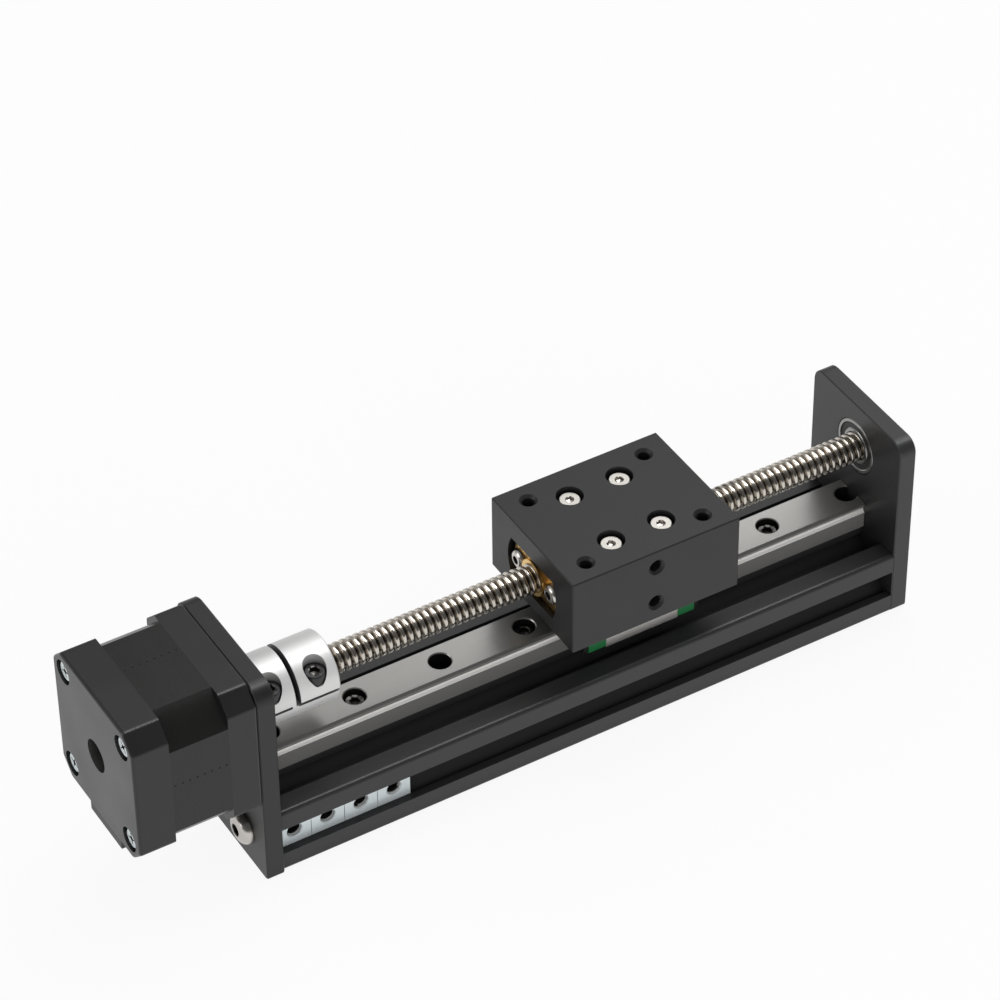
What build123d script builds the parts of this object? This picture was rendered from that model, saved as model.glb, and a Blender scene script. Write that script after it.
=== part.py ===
from build123d import *
import math
import os
from typing import NamedTuple

# Linear slide stage. A slotted base profile carries a guide rail and a plate at each end.
# A stepper motor turns a trapezoidal screw through a clamp coupling, and the screw drives
# a table that rides on a ball guide block. Millimetres throughout.
# X runs along the travel from the motor to the far plate, Y across it, Z up.
# The origin lies on the underside of the profile, midway between the two plates.


class Screw(NamedTuple):
    """A machine screw: radii of shank and head, head height and hexagon key width."""

    shank: float
    head: float
    height: float
    key: float


# Screws
M2_PAN = Screw(shank=1.0, head=1.9, height=1.3, key=1.2)
M3_SOCKET = Screw(shank=1.5, head=2.75, height=3.0, key=2.5)
M3_LOW = Screw(shank=1.5, head=2.85, height=2.0, key=2.0)
M3_BUTTON = Screw(shank=1.5, head=2.85, height=1.65, key=2.0)
M3_PAN = Screw(shank=1.5, head=2.75, height=2.4, key=2.0)
M5_BUTTON = Screw(shank=2.5, head=4.75, height=2.75, key=3.0)
RIM_SHARE = 0.1
DOME_SHARE = 0.4
RECESS_SHARE = 0.55
CROSS_SPAN_SHARE = 1.2
CROSS_WIDTH_SHARE = 0.24
SCREW_PASS = 0.2
COUNTERBORE_PASS = 0.3
TABLE_POCKET_PASS = 0.8
THREAD_TIP = 0.5

# Fits
SEAT = 0.05
RUNNING = 0.08

# Travel
TRAVEL = 110.0
TRAVEL_AT_REST = 60.6
END_GAP = 0.4

# Table
TABLE_LENGTH = 50.0
TABLE_WIDTH = 40.0
TABLE_HEIGHT = 23.0
TABLE_EDGE = 0.3
TABLE_BOLT_X = 35.0
TABLE_BOLT_Y = 28.0
TABLE_BOLT_DEPTH = 8.0
M4_CORE_RADIUS = 1.65
M4_MOUTH = 0.8
SIDE_HOLE_PITCH = 12.0
SIDE_HOLE_BELOW_TOP = 5.3
SIDE_HOLE_DEPTH = 7.0
HEAD_SINK = 1.2

# Base profile and its slots
PROFILE_WIDTH = 40.0
PROFILE_HEIGHT = 20.0
PROFILE_CORNER = 1.2
SLOT_FROM_SIDE = 10.0
SLOT_OPENING = 8.2
SLOT_LIP = 2.2
SLOT_CAVITY = 11.2
SLOT_SHOULDER = 1.2
SLOT_FLOOR = 5.6
CORE_RADIUS = 2.1
CORE_THREAD_DEPTH = 12.0
CHAMBER_WIDTH = 5.6
CHAMBER_HEIGHT = 9.0
CHAMBER_CORNER = 1.0

# Plates
PLATE_THICKNESS = 5.0
PLATE_EDGE = 0.3
PLATE_FOOT_CORNER = 1.0
PLATE_SCREW_LENGTH = 12.0
MOTOR_PLATE_INSET = 0.15
MOTOR_PLATE_DROP = 0.65
MOTOR_PLATE_CORNER = 5.0
END_PLATE_CORNER = 4.0
END_PLATE_RISE = 1.1

# Guide rail, block and balls
RAIL_WIDTH = 12.0
RAIL_HEIGHT = 8.0
RAIL_EDGE = 0.6
RAIL_END_GAP = 0.1
RAIL_PITCH = 25.0
RAIL_HOLES = 8
RAIL_FIRST_HOLE = 7.8
RAIL_BORE = 1.75
RAIL_COUNTERBORE = 3.0
RAIL_COUNTERBORE_DEPTH = 4.5
RAIL_MOUTH = 0.25
RAIL_SCREWED_HOLES = (1, 3, 4, 6)
RAIL_SCREW_LENGTH = 8.0
BLOCK_STACK = 13.0
BLOCK_BELLY = 3.0
BLOCK_WIDTH = 27.0
BLOCK_STEEL_LENGTH = 21.7
BLOCK_CAP_LENGTH = 5.2
BLOCK_SEAL_LENGTH = 1.3
BLOCK_EDGE = 0.5
BLOCK_BOLT_X = 15.0
BLOCK_BOLT_Y = 20.0
BLOCK_THREAD_DEPTH = 3.5
BLOCK_SIDE_CLEARANCE = 0.3
BLOCK_TOP_CLEARANCE = 0.6
CAP_INSET = 0.15
SEAL_INSET = 0.5
CAP_SCREW_Y = 6.6
CAP_SCREW_BELOW_TOP = 2.3
CAP_SCREW_BITE = 4.0
RETURN_BORE_RADIUS = 1.3
RETURN_BORE_Y = 9.9
BALL_RADIUS = 1.19
BALL_PITCH = 2.5
BALLS_PER_ROW = 8
RACE_RADIUS = 1.25
RACE_OUT = 0.55
RACE_BELOW_TOP = 2.1

# Lead screw and nut
SCREW_RADIUS = 4.0
AXIS_ABOVE_BLOCK = 10.5
SCREW_END_SINK = 0.3
NUT_FLANGE_RADIUS = 11.0
NUT_FLANGE_ACROSS_FLATS = 12.0
NUT_FLANGE_THICKNESS = 3.5
NUT_BODY_RADIUS = 5.1
NUT_BOSS_LENGTH = 1.5
NUT_TAIL_LENGTH = 10.0
NUT_SINK = 1.6
NUT_SCREW_Y = 8.0
NUT_SCREW_LENGTH = 8.0
NUT_POCKET_CLEARANCE = 0.4
NUT_BORE_CLEARANCE = 0.15

# Coupling
COUPLING_LENGTH = 24.0
COUPLING_RADIUS = 9.5
COUPLING_GAP = 0.2
COUPLING_EDGE = 0.4
COUPLING_TURN = 5.0
CROSS_SLIT = 1.4
CLAMP_SLIT = 0.9
CLAMP_BRIDGE = 1.0
CLAMP_SCREW_OFFSET = 6.0
CLAMP_SCREW_SPREAD = 6.3
CLAMP_SCREW_SEAT = 3.1
CLAMP_SCREW_LENGTH = 8.0
SHAFT_STOP = 0.9

# End bearing
BEARING_RADIUS = 8.0
BEARING_WIDTH = 5.0
OUTER_RACE_RADIUS = 6.8
INNER_RACE_RADIUS = 5.2
BEARING_BALLS = 9
SHIELD_THICKNESS = 0.3
SHIELD_SINK = 0.3

# Stepper motor
MOTOR_SIZE = 42.3
MOTOR_CHAMFER = 4.5
MOTOR_CORNER = 1.5
MOTOR_EDGE = 0.8
MOTOR_LENGTH = 34.0
FRONT_CAP_LENGTH = 8.1
REAR_CAP_LENGTH = 9.9
MOTOR_HOLE_PITCH = 31.0
PILOT_RADIUS = 11.0
PILOT_LENGTH = 2.0
PILOT_CLEARANCE = 0.2
PILOT_LIP = 0.8
PILOT_MOUTH_RADIUS = 6.0
CAP_WALL = 2.6
REAR_WALL = 3.2
CAP_CAVITY_RADIUS = 18.6
CAP_HUB_RADIUS = 10.0
REAR_OPENING_RADIUS = 4.5
STACK_ROUND_RADIUS = 25.0
YOKE_RADIUS = 18.5
STATOR_BORE_RADIUS = 13.3
SHOE_RADIUS = 14.5
POLE_COUNT = 8
POLE_WIDTH = 4.0
SHOE_GAP = 2.4
COIL_INNER_RADIUS = 14.8
COIL_OUTER_RADIUS = 17.6
COIL_WIDTH = 10.0
COIL_OVERHANG = 2.4
COIL_CLEARANCE = 0.1
ROTOR_RADIUS = 13.0
ROTOR_MAGNET_LENGTH = 3.0
ROTOR_MAGNET_INSET = 0.5
SHAFT_RADIUS = 2.5
SHAFT_FLAT = 0.5
MOTOR_BEARING_RADIUS = 8.0
MOTOR_BEARING_WIDTH = 5.0
MOTOR_OUTER_RACE = 6.6
MOTOR_INNER_RACE = 4.0
MOTOR_BEARING_BALLS = 7
WASHER_THICKNESS = 0.5
WASHER_RADIUS = 5.5
CASE_HEAD_DEPTH = 3.0
CASE_COUNTERBORE = 3.4
CASE_SCREW_BITE = 3.5
MOUNT_HEAD_DEPTH = 3.2
MOUNT_SCREW_BITE = 4.0
CONNECTOR_LENGTH = 16.6
CONNECTOR_WIDTH = 6.0
CONNECTOR_PROUD = 4.4
CONNECTOR_SUNK = 1.5
CONNECTOR_WALL = 0.9
CONNECTOR_FLOOR = 1.0
CONNECTOR_FROM_REAR = 0.9
PIN_COUNT = 6
PIN_PITCH = 2.5
PIN_SIZE = 0.6
PIN_BELOW_MOUTH = 0.8

# Slot nuts
NUT_COUNT = 4
SLOT_NUT_LENGTH = 9.4
SLOT_NUT_GAP = 0.2
SLOT_NUT_PITCH = 9.55
SLOT_NUT_HEIGHT = 10.0
SLOT_NUT_THICKNESS = 3.0
SLOT_NUT_BEVEL = 1.6
SLOT_NUT_CORE_RADIUS = 2.1
SLOT_NUT_MOUTH = 0.2

# Places along X
SPAN = COUPLING_GAP + COUPLING_LENGTH + END_GAP + TRAVEL + TABLE_LENGTH + END_GAP
MOTOR_PLATE_IN = -SPAN / 2
MOTOR_PLATE_OUT = MOTOR_PLATE_IN - PLATE_THICKNESS
END_PLATE_IN = SPAN / 2
END_PLATE_OUT = END_PLATE_IN + PLATE_THICKNESS
COUPLING_START = MOTOR_PLATE_IN + COUPLING_GAP
COUPLING_END = COUPLING_START + COUPLING_LENGTH
COUPLING_MID = (COUPLING_START + COUPLING_END) / 2
TABLE_START = COUPLING_END + END_GAP + TRAVEL_AT_REST
TABLE_END = TABLE_START + TABLE_LENGTH
TABLE_MID = (TABLE_START + TABLE_END) / 2
NUT_FACE = TABLE_START + NUT_SINK
NUT_SEAT = NUT_FACE + NUT_FLANGE_THICKNESS
MOTOR_FRONT = MOTOR_PLATE_OUT
MOTOR_REAR = MOTOR_FRONT - MOTOR_LENGTH
STACK_FRONT = MOTOR_FRONT - FRONT_CAP_LENGTH
STACK_REAR = MOTOR_REAR + REAR_CAP_LENGTH
FRONT_BEARING_START = MOTOR_FRONT + PILOT_LENGTH - PILOT_LIP - MOTOR_BEARING_WIDTH
REAR_BEARING_START = MOTOR_REAR + REAR_WALL - WASHER_THICKNESS
SHAFT_START = REAR_BEARING_START
SHAFT_END = COUPLING_MID - SHAFT_STOP
SCREW_START = COUPLING_MID + SHAFT_STOP
SCREW_END = END_PLATE_OUT - SCREW_END_SINK

# Heights
SLOT_Z = PROFILE_HEIGHT / 2
SLOT_Y = PROFILE_WIDTH / 2 - SLOT_FROM_SIDE
SLOT_DEPTH = SLOT_LIP + SLOT_SHOULDER + (SLOT_CAVITY - SLOT_FLOOR) / 2
RAIL_TOP = PROFILE_HEIGHT + RAIL_HEIGHT
RACE_Y = RAIL_WIDTH / 2 + RACE_OUT
RACE_Z = RAIL_TOP - RACE_BELOW_TOP
BLOCK_TOP = PROFILE_HEIGHT + BLOCK_STACK
BLOCK_BOTTOM = PROFILE_HEIGHT + BLOCK_BELLY
TABLE_TOP = BLOCK_TOP + TABLE_HEIGHT
AXIS_Z = BLOCK_TOP + AXIS_ABOVE_BLOCK
END_PLATE_HEIGHT = TABLE_TOP + END_PLATE_RISE
MOTOR_PLATE_HEIGHT = AXIS_Z + MOTOR_SIZE / 2 - MOTOR_PLATE_DROP
MOTOR_PLATE_WIDTH = MOTOR_SIZE - 2 * MOTOR_PLATE_INSET
MOTOR_BOTTOM = AXIS_Z - MOTOR_SIZE / 2
HEAD_SEAT_Z = TABLE_TOP - HEAD_SINK - M3_LOW.height


def bar(x0, x1, y0, y1, z0, z1):
    """Rectangular bar between two corners."""
    centre = Pos((x0 + x1) / 2, (y0 + y1) / 2, (z0 + z1) / 2)
    return centre * Box(x1 - x0, y1 - y0, z1 - z0)


def rod(radius, x0, x1, y=0.0, z=AXIS_Z):
    """Round bar along X."""
    stand = Align.CENTER, Align.CENTER, Align.MIN
    return Pos(x0, y, z) * Rot(0, 90, 0) * Cylinder(radius, x1 - x0, align=stand)


def post(radius, z0, z1, x=0.0, y=0.0):
    """Round bar along Z."""
    stand = Align.CENTER, Align.CENTER, Align.MIN
    return Pos(x, y, z0) * Cylinder(radius, z1 - z0, align=stand)


def prism(section, x0, x1):
    """Section drawn in the YZ plane, carried from x0 to x1."""
    return extrude(Plane.YZ.offset(x0) * section, amount=x1 - x0)


def ring(outer, inner, x0, x1, z=AXIS_Z):
    """Round ring about an axis along X."""
    return rod(outer, x0, x1, z=z) - rod(inner, x0, x1, z=z)


def group(solids):
    """Separate solids kept together as one sub-part."""
    return Compound(children=list(solids))


def corners(spread_a, spread_b):
    """The four corners of a rectangle about its middle."""
    return [(a * spread_a / 2, b * spread_b / 2) for a in (-1, 1) for b in (-1, 1)]


def bevelled_mouth(radius, bevel):
    """Cut for the bevelled mouth of a hole, from the origin down."""
    hang = Align.CENTER, Align.CENTER, Align.MAX
    return Cone(radius, radius + bevel, bevel, align=hang)


def screw(kind, length, domed=False, slotted=False):
    """Screw with the underside of its head at the origin and its shank pointing down."""
    stand = Align.CENTER, Align.CENTER, Align.MIN
    hang = Align.CENTER, Align.CENTER, Align.MAX
    head = Cylinder(kind.head, kind.height, align=stand)
    rim = head.edges().filter_by(GeomType.CIRCLE).sort_by(Axis.Z)[-1]
    head = chamfer(rim, length=kind.height * (DOME_SHARE if domed else RIM_SHARE))
    depth = kind.height * RECESS_SHARE
    if slotted:
        span = kind.head * CROSS_SPAN_SHARE
        arm = Box(span, kind.head * CROSS_WIDTH_SHARE, depth, align=hang)
        recess = arm + Rot(0, 0, 90) * arm
    else:
        recess = extrude(RegularPolygon(kind.key / math.sqrt(3), 6), amount=-depth)
    head -= Pos(0, 0, kind.height) * recess
    return head + Cylinder(kind.shank, length, align=hang)


def facing_motor(x, y, z):
    """Place for a screw whose head points towards the motor end."""
    return Pos(x, y, z) * Rot(0, -90, 0)


def facing_far(x, y, z):
    """Place for a screw whose head points towards the far end."""
    return Pos(x, y, z) * Rot(0, 90, 0)


def slot_section():
    """Section of one slot, its mouth on the local X axis and its floor below."""
    half_mouth = SLOT_OPENING / 2
    half_cavity = SLOT_CAVITY / 2
    side = [
        (half_mouth, SLOT_LIP),
        (half_mouth, -SLOT_LIP),
        (half_cavity, -SLOT_LIP),
        (half_cavity, -SLOT_LIP - SLOT_SHOULDER),
        (SLOT_FLOOR / 2, -SLOT_DEPTH),
    ]
    mirrored = [(-u, v) for u, v in reversed(side)]
    return make_face(Polyline(*side, *mirrored, close=True))


def profile_section():
    """Section of the base profile with slots on all four sides."""
    block = Pos(0, SLOT_Z) * RectangleRounded(PROFILE_WIDTH, PROFILE_HEIGHT, PROFILE_CORNER)
    slot = slot_section()
    for side in (-1, 1):
        block -= Pos(side * SLOT_Y, PROFILE_HEIGHT) * slot
        block -= Pos(side * SLOT_Y, 0) * Rot(0, 0, 180) * slot
        block -= Pos(side * PROFILE_WIDTH / 2, SLOT_Z) * Rot(0, 0, -90 * side) * slot
        block -= Pos(side * SLOT_Y, SLOT_Z) * Circle(CORE_RADIUS)
    chamber = RectangleRounded(CHAMBER_WIDTH, CHAMBER_HEIGHT, CHAMBER_CORNER)
    return block - Pos(0, SLOT_Z) * chamber


def rail_hole_x(index):
    """Place of a rail hole along the travel."""
    return MOTOR_PLATE_IN + RAIL_FIRST_HOLE + RAIL_PITCH * index


def base_extrusion():
    """Slotted base profile, tapped at its ends and under the rail screws."""
    body = prism(profile_section(), MOTOR_PLATE_IN, END_PLATE_IN)
    thread = M5_BUTTON.shank + SEAT
    for side in (-1, 1):
        y = side * SLOT_Y
        body -= rod(thread, MOTOR_PLATE_IN, MOTOR_PLATE_IN + CORE_THREAD_DEPTH, y, SLOT_Z)
        body -= rod(thread, END_PLATE_IN - CORE_THREAD_DEPTH, END_PLATE_IN, y, SLOT_Z)
    for index in RAIL_SCREWED_HOLES:
        body -= post(M3_SOCKET.shank + SEAT, SLOT_Z, PROFILE_HEIGHT, rail_hole_x(index))
    return body


def guide_rail():
    """Rail with a ball race along each side and counterbored holes along the top."""
    section = Pos(0, PROFILE_HEIGHT + RAIL_HEIGHT / 2) * Rectangle(RAIL_WIDTH, RAIL_HEIGHT)
    section = chamfer(section.vertices().group_by(Axis.Y)[-1], length=RAIL_EDGE)
    for side in (-1, 1):
        section -= Pos(side * RACE_Y, RACE_Z) * Circle(RACE_RADIUS)
    rail = prism(section, MOTOR_PLATE_IN + RAIL_END_GAP, END_PLATE_IN - RAIL_END_GAP)
    mouth = bevelled_mouth(RAIL_COUNTERBORE, RAIL_MOUTH)
    for index in range(RAIL_HOLES):
        x = rail_hole_x(index)
        rail -= post(RAIL_BORE, PROFILE_HEIGHT, RAIL_TOP, x)
        rail -= post(RAIL_COUNTERBORE, RAIL_TOP - RAIL_COUNTERBORE_DEPTH, RAIL_TOP, x)
        rail -= Pos(x, 0, RAIL_TOP) * mouth
    return rail


def rail_screws():
    """Socket screws that hold the rail to the profile."""
    one = screw(M3_SOCKET, RAIL_SCREW_LENGTH)
    seat = RAIL_TOP - RAIL_COUNTERBORE_DEPTH
    return group(Pos(rail_hole_x(index), 0, seat) * one for index in RAIL_SCREWED_HOLES)


def plate(width, height, top_corner, x0):
    """Upright plate that stands on the ground plane, with the holes for its two base screws."""
    outline = Pos(0, height / 2) * Rectangle(width, height)
    outline = fillet(outline.vertices().group_by(Axis.Y)[-1], radius=top_corner)
    outline = fillet(outline.vertices().group_by(Axis.Y)[0], radius=PLATE_FOOT_CORNER)
    body = prism(outline, x0, x0 + PLATE_THICKNESS)
    body = chamfer(body.faces().sort_by(Axis.X)[0].edges(), length=PLATE_EDGE)
    body = chamfer(body.faces().sort_by(Axis.X)[-1].edges(), length=PLATE_EDGE)
    for side in (-1, 1):
        hole = M5_BUTTON.shank + SCREW_PASS
        body -= rod(hole, x0, x0 + PLATE_THICKNESS, side * SLOT_Y, SLOT_Z)
    return body


def motor_plate():
    """Plate between the motor and the profile, bored for the motor's pilot."""
    body = plate(MOTOR_PLATE_WIDTH, MOTOR_PLATE_HEIGHT, MOTOR_PLATE_CORNER, MOTOR_PLATE_OUT)
    body -= rod(PILOT_RADIUS + PILOT_CLEARANCE, MOTOR_PLATE_OUT, MOTOR_PLATE_IN)
    for y, z in corners(MOTOR_HOLE_PITCH, MOTOR_HOLE_PITCH):
        seat = MOTOR_PLATE_IN - MOUNT_HEAD_DEPTH
        body -= rod(M3_SOCKET.shank + SCREW_PASS, MOTOR_PLATE_OUT, MOTOR_PLATE_IN, y, AXIS_Z + z)
        body -= rod(M3_SOCKET.head + COUNTERBORE_PASS, seat, MOTOR_PLATE_IN, y, AXIS_Z + z)
    return body


def end_plate():
    """Plate at the far end, bored for the screw's bearing."""
    body = plate(PROFILE_WIDTH, END_PLATE_HEIGHT, END_PLATE_CORNER, END_PLATE_IN)
    return body - rod(BEARING_RADIUS + SEAT, END_PLATE_IN, END_PLATE_OUT)


def plate_screws(place, x):
    """The two button screws that hold one plate to the profile."""
    one = screw(M5_BUTTON, PLATE_SCREW_LENGTH, domed=True)
    return group(place(x, side * SLOT_Y, SLOT_Z) * one for side in (-1, 1))


def motor_plate_screws():
    """Button screws through the motor plate, heads under the motor."""
    return plate_screws(facing_motor, MOTOR_PLATE_OUT)


def end_plate_screws():
    """Button screws through the far plate."""
    return plate_screws(facing_far, END_PLATE_OUT)


def slot_nuts():
    """Row of threaded nuts that slide in the near side slot, beside the motor plate."""
    lip = -PROFILE_WIDTH / 2 + SLOT_LIP + SEAT
    outline = Pos(lip + SLOT_NUT_THICKNESS / 2, SLOT_Z)
    outline = outline * Rectangle(SLOT_NUT_THICKNESS, SLOT_NUT_HEIGHT)
    outline = chamfer(outline.vertices().group_by(Axis.X)[-1], length=SLOT_NUT_BEVEL)
    half = SLOT_NUT_LENGTH / 2
    nut = prism(outline, -half, half)
    turned = Pos(0, lip, SLOT_Z) * Rot(-90, 0, 0)
    stand = Align.CENTER, Align.CENTER, Align.MIN
    nut -= turned * Cylinder(SLOT_NUT_CORE_RADIUS, SLOT_NUT_THICKNESS, align=stand)
    mouth_radius = SLOT_NUT_CORE_RADIUS + SLOT_NUT_MOUTH
    nut -= turned * Cone(mouth_radius, SLOT_NUT_CORE_RADIUS, SLOT_NUT_MOUTH, align=stand)
    first = MOTOR_PLATE_IN + SLOT_NUT_GAP + half
    return group(Pos(first + SLOT_NUT_PITCH * n, 0, 0) * nut for n in range(NUT_COUNT))


def bearing_balls(count, inner, outer, x):
    """Balls of one bearing, spaced about the screw's axis."""
    radius = (outer - inner) / 2 - RUNNING
    middle = (outer + inner) / 2
    ball = Pos(0, 0, middle) * Sphere(radius)
    return [Pos(x, 0, AXIS_Z) * Rot(360 / count * n, 0, 0) * ball for n in range(count)]


def end_bearing_outer_ring():
    """Outer ring of the screw's bearing, seated in the far plate."""
    return ring(BEARING_RADIUS, OUTER_RACE_RADIUS, END_PLATE_IN, END_PLATE_IN + BEARING_WIDTH)


def end_bearing_inner_ring():
    """Inner ring of the screw's bearing, which turns with the screw."""
    inner = SCREW_RADIUS + SEAT
    return ring(INNER_RACE_RADIUS, inner, END_PLATE_IN, END_PLATE_IN + BEARING_WIDTH)


def end_bearing_shields():
    """Thin metal shields held by the outer ring on both sides of the balls."""
    outer = OUTER_RACE_RADIUS - SEAT
    inner = INNER_RACE_RADIUS + RUNNING
    near = END_PLATE_IN + SHIELD_SINK
    far = END_PLATE_IN + BEARING_WIDTH - SHIELD_SINK - SHIELD_THICKNESS
    return group(ring(outer, inner, x, x + SHIELD_THICKNESS) for x in (near, far))


def end_bearing_balls():
    """Balls of the screw's bearing."""
    middle = END_PLATE_IN + BEARING_WIDTH / 2
    return group(bearing_balls(BEARING_BALLS, INNER_RACE_RADIUS, OUTER_RACE_RADIUS, middle))


def motor_outline():
    """Outline of a motor cap: a square with bevelled corners."""
    outline = Pos(0, AXIS_Z) * Rectangle(MOTOR_SIZE, MOTOR_SIZE)
    outline = chamfer(outline.vertices(), length=MOTOR_CHAMFER)
    return fillet(outline.vertices(), radius=MOTOR_CORNER)


def bolt_rods(radius, x0, x1):
    """Bars along the motor's four bolt holes."""
    places = corners(MOTOR_HOLE_PITCH, MOTOR_HOLE_PITCH)
    return [rod(radius, x0, x1, y, AXIS_Z + z) for y, z in places]


def motor_front_cap():
    """Front cap with the pilot that centres the motor and the front bearing's seat."""
    cap = prism(motor_outline(), STACK_FRONT, MOTOR_FRONT)
    cap = fillet(cap.faces().sort_by(Axis.X)[-1].edges(), radius=MOTOR_EDGE)
    cap += rod(PILOT_RADIUS, MOTOR_FRONT - CAP_WALL, MOTOR_FRONT + PILOT_LENGTH)
    cap -= rod(CAP_CAVITY_RADIUS, STACK_FRONT, MOTOR_FRONT - CAP_WALL)
    cap += rod(CAP_HUB_RADIUS, FRONT_BEARING_START, MOTOR_FRONT)
    bearing_end = FRONT_BEARING_START + MOTOR_BEARING_WIDTH
    cap -= rod(MOTOR_BEARING_RADIUS + SEAT, FRONT_BEARING_START, bearing_end)
    cap -= rod(PILOT_MOUTH_RADIUS, bearing_end, MOTOR_FRONT + PILOT_LENGTH)
    for hole in bolt_rods(M3_SOCKET.shank + SEAT, STACK_FRONT, MOTOR_FRONT):
        cap -= hole
    return cap


def motor_rear_cap():
    """Rear cap with the rear bearing's seat, the open centre and the connector's notch."""
    cap = prism(motor_outline(), MOTOR_REAR, STACK_REAR)
    cap = fillet(cap.faces().sort_by(Axis.X)[0].edges(), radius=MOTOR_EDGE)
    wall = MOTOR_REAR + REAR_WALL
    bearing_end = REAR_BEARING_START + WASHER_THICKNESS + MOTOR_BEARING_WIDTH
    cap -= rod(CAP_CAVITY_RADIUS, wall, STACK_REAR)
    cap += rod(CAP_HUB_RADIUS, wall - WASHER_THICKNESS, bearing_end)
    cap -= rod(MOTOR_BEARING_RADIUS + SEAT, wall - WASHER_THICKNESS, bearing_end)
    cap -= rod(REAR_OPENING_RADIUS, MOTOR_REAR, wall)
    for hole in bolt_rods(M3_PAN.shank + SCREW_PASS, MOTOR_REAR, STACK_REAR):
        cap -= hole
    for pocket in bolt_rods(CASE_COUNTERBORE, MOTOR_REAR, MOTOR_REAR + CASE_HEAD_DEPTH):
        cap -= pocket
    return cap - connector_block(SEAT)


def motor_stator():
    """Laminated stator: a square stack with rounded corners and eight inward poles."""
    outline = Pos(0, AXIS_Z) * Rectangle(MOTOR_SIZE, MOTOR_SIZE)
    outline &= Pos(0, AXIS_Z) * Circle(STACK_ROUND_RADIUS)
    outline -= Pos(0, AXIS_Z) * Circle(YOKE_RADIUS)
    shoes = Circle(SHOE_RADIUS) - Circle(STATOR_BORE_RADIUS)
    pole_length = YOKE_RADIUS - SHOE_RADIUS + 2 * COIL_CLEARANCE
    pole = Pos((YOKE_RADIUS + SHOE_RADIUS) / 2, 0) * Rectangle(pole_length, POLE_WIDTH)
    gap = Pos(SHOE_RADIUS, 0) * Rectangle(SHOE_RADIUS / 2, SHOE_GAP)
    step = 360 / POLE_COUNT
    for n in range(POLE_COUNT):
        shoes -= Rot(0, 0, step * (n + 0.5)) * gap
    for n in range(POLE_COUNT):
        shoes += Rot(0, 0, step * n) * pole
    outline += Pos(0, AXIS_Z) * shoes
    stack = prism(outline, STACK_REAR, STACK_FRONT)
    for hole in bolt_rods(M3_PAN.shank + SCREW_PASS, STACK_REAR, STACK_FRONT):
        stack -= hole
    return stack


def motor_windings():
    """Copper coils, one wound round each stator pole."""
    z0 = AXIS_Z + COIL_INNER_RADIUS
    z1 = AXIS_Z + COIL_OUTER_RADIUS
    half = COIL_WIDTH / 2
    coil = bar(STACK_REAR - COIL_OVERHANG, STACK_FRONT + COIL_OVERHANG, -half, half, z0, z1)
    pole = POLE_WIDTH / 2 + COIL_CLEARANCE
    coil -= bar(STACK_REAR - COIL_CLEARANCE, STACK_FRONT + COIL_CLEARANCE, -pole, pole, z0, z1)
    axis = Pos(0, 0, AXIS_Z)
    step = 360 / POLE_COUNT
    return group(axis * Rot(step * n, 0, 0) * axis.inverse() * coil for n in range(POLE_COUNT))


def motor_case_screws():
    """Long screws that clamp the two caps onto the stator."""
    seat = MOTOR_REAR + CASE_HEAD_DEPTH
    one = screw(M3_PAN, STACK_FRONT + CASE_SCREW_BITE - seat, slotted=True)
    places = corners(MOTOR_HOLE_PITCH, MOTOR_HOLE_PITCH)
    return group(facing_motor(seat, y, AXIS_Z + z) * one for y, z in places)


def motor_mount_screws():
    """Socket screws that hold the motor to its plate."""
    seat = MOTOR_PLATE_IN - MOUNT_HEAD_DEPTH
    one = screw(M3_SOCKET, seat - MOTOR_FRONT + MOUNT_SCREW_BITE)
    places = corners(MOTOR_HOLE_PITCH, MOTOR_HOLE_PITCH)
    return group(facing_far(seat, y, AXIS_Z + z) * one for y, z in places)


def motor_bearing_starts():
    """Places where the motor's two bearings start along X."""
    return FRONT_BEARING_START, REAR_BEARING_START + WASHER_THICKNESS


def motor_bearing_outer_rings():
    """Outer rings of the motor's bearings, seated in the caps."""
    starts = motor_bearing_starts()
    outer = MOTOR_BEARING_RADIUS
    return group(ring(outer, MOTOR_OUTER_RACE, x, x + MOTOR_BEARING_WIDTH) for x in starts)


def motor_bearing_inner_rings():
    """Inner rings of the motor's bearings, pressed on the shaft."""
    starts = motor_bearing_starts()
    inner = SHAFT_RADIUS + SEAT
    return group(ring(MOTOR_INNER_RACE, inner, x, x + MOTOR_BEARING_WIDTH) for x in starts)


def motor_bearing_balls():
    """Balls of both motor bearings."""
    balls = []
    for x in motor_bearing_starts():
        middle = x + MOTOR_BEARING_WIDTH / 2
        balls += bearing_balls(MOTOR_BEARING_BALLS, MOTOR_INNER_RACE, MOTOR_OUTER_RACE, middle)
    return group(balls)


def motor_preload_washer():
    """Spring washer between the rear cap and the rear bearing."""
    start = REAR_BEARING_START
    return ring(MOTOR_BEARING_RADIUS, WASHER_RADIUS, start, start + WASHER_THICKNESS)


def motor_shaft():
    """Motor shaft with a flat where the coupling clamps it."""
    shaft = rod(SHAFT_RADIUS, SHAFT_START, SHAFT_END)
    flat_z = AXIS_Z + SHAFT_RADIUS - SHAFT_FLAT
    top = AXIS_Z + SHAFT_RADIUS + SHAFT_FLAT
    return shaft - bar(COUPLING_START, SHAFT_END, -SHAFT_RADIUS, SHAFT_RADIUS, flat_z, top)


def rotor_places():
    """Start and end of the rotor's rear stack, magnet and front stack."""
    middle = (STACK_REAR + STACK_FRONT) / 2
    half = ROTOR_MAGNET_LENGTH / 2
    return (STACK_REAR, middle - half), (middle - half, middle + half), (middle + half, STACK_FRONT)


def motor_rotor_stacks():
    """The rotor's two iron stacks."""
    rear, _, front = rotor_places()
    return group(ring(ROTOR_RADIUS, SHAFT_RADIUS + SEAT, *place) for place in (rear, front))


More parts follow.
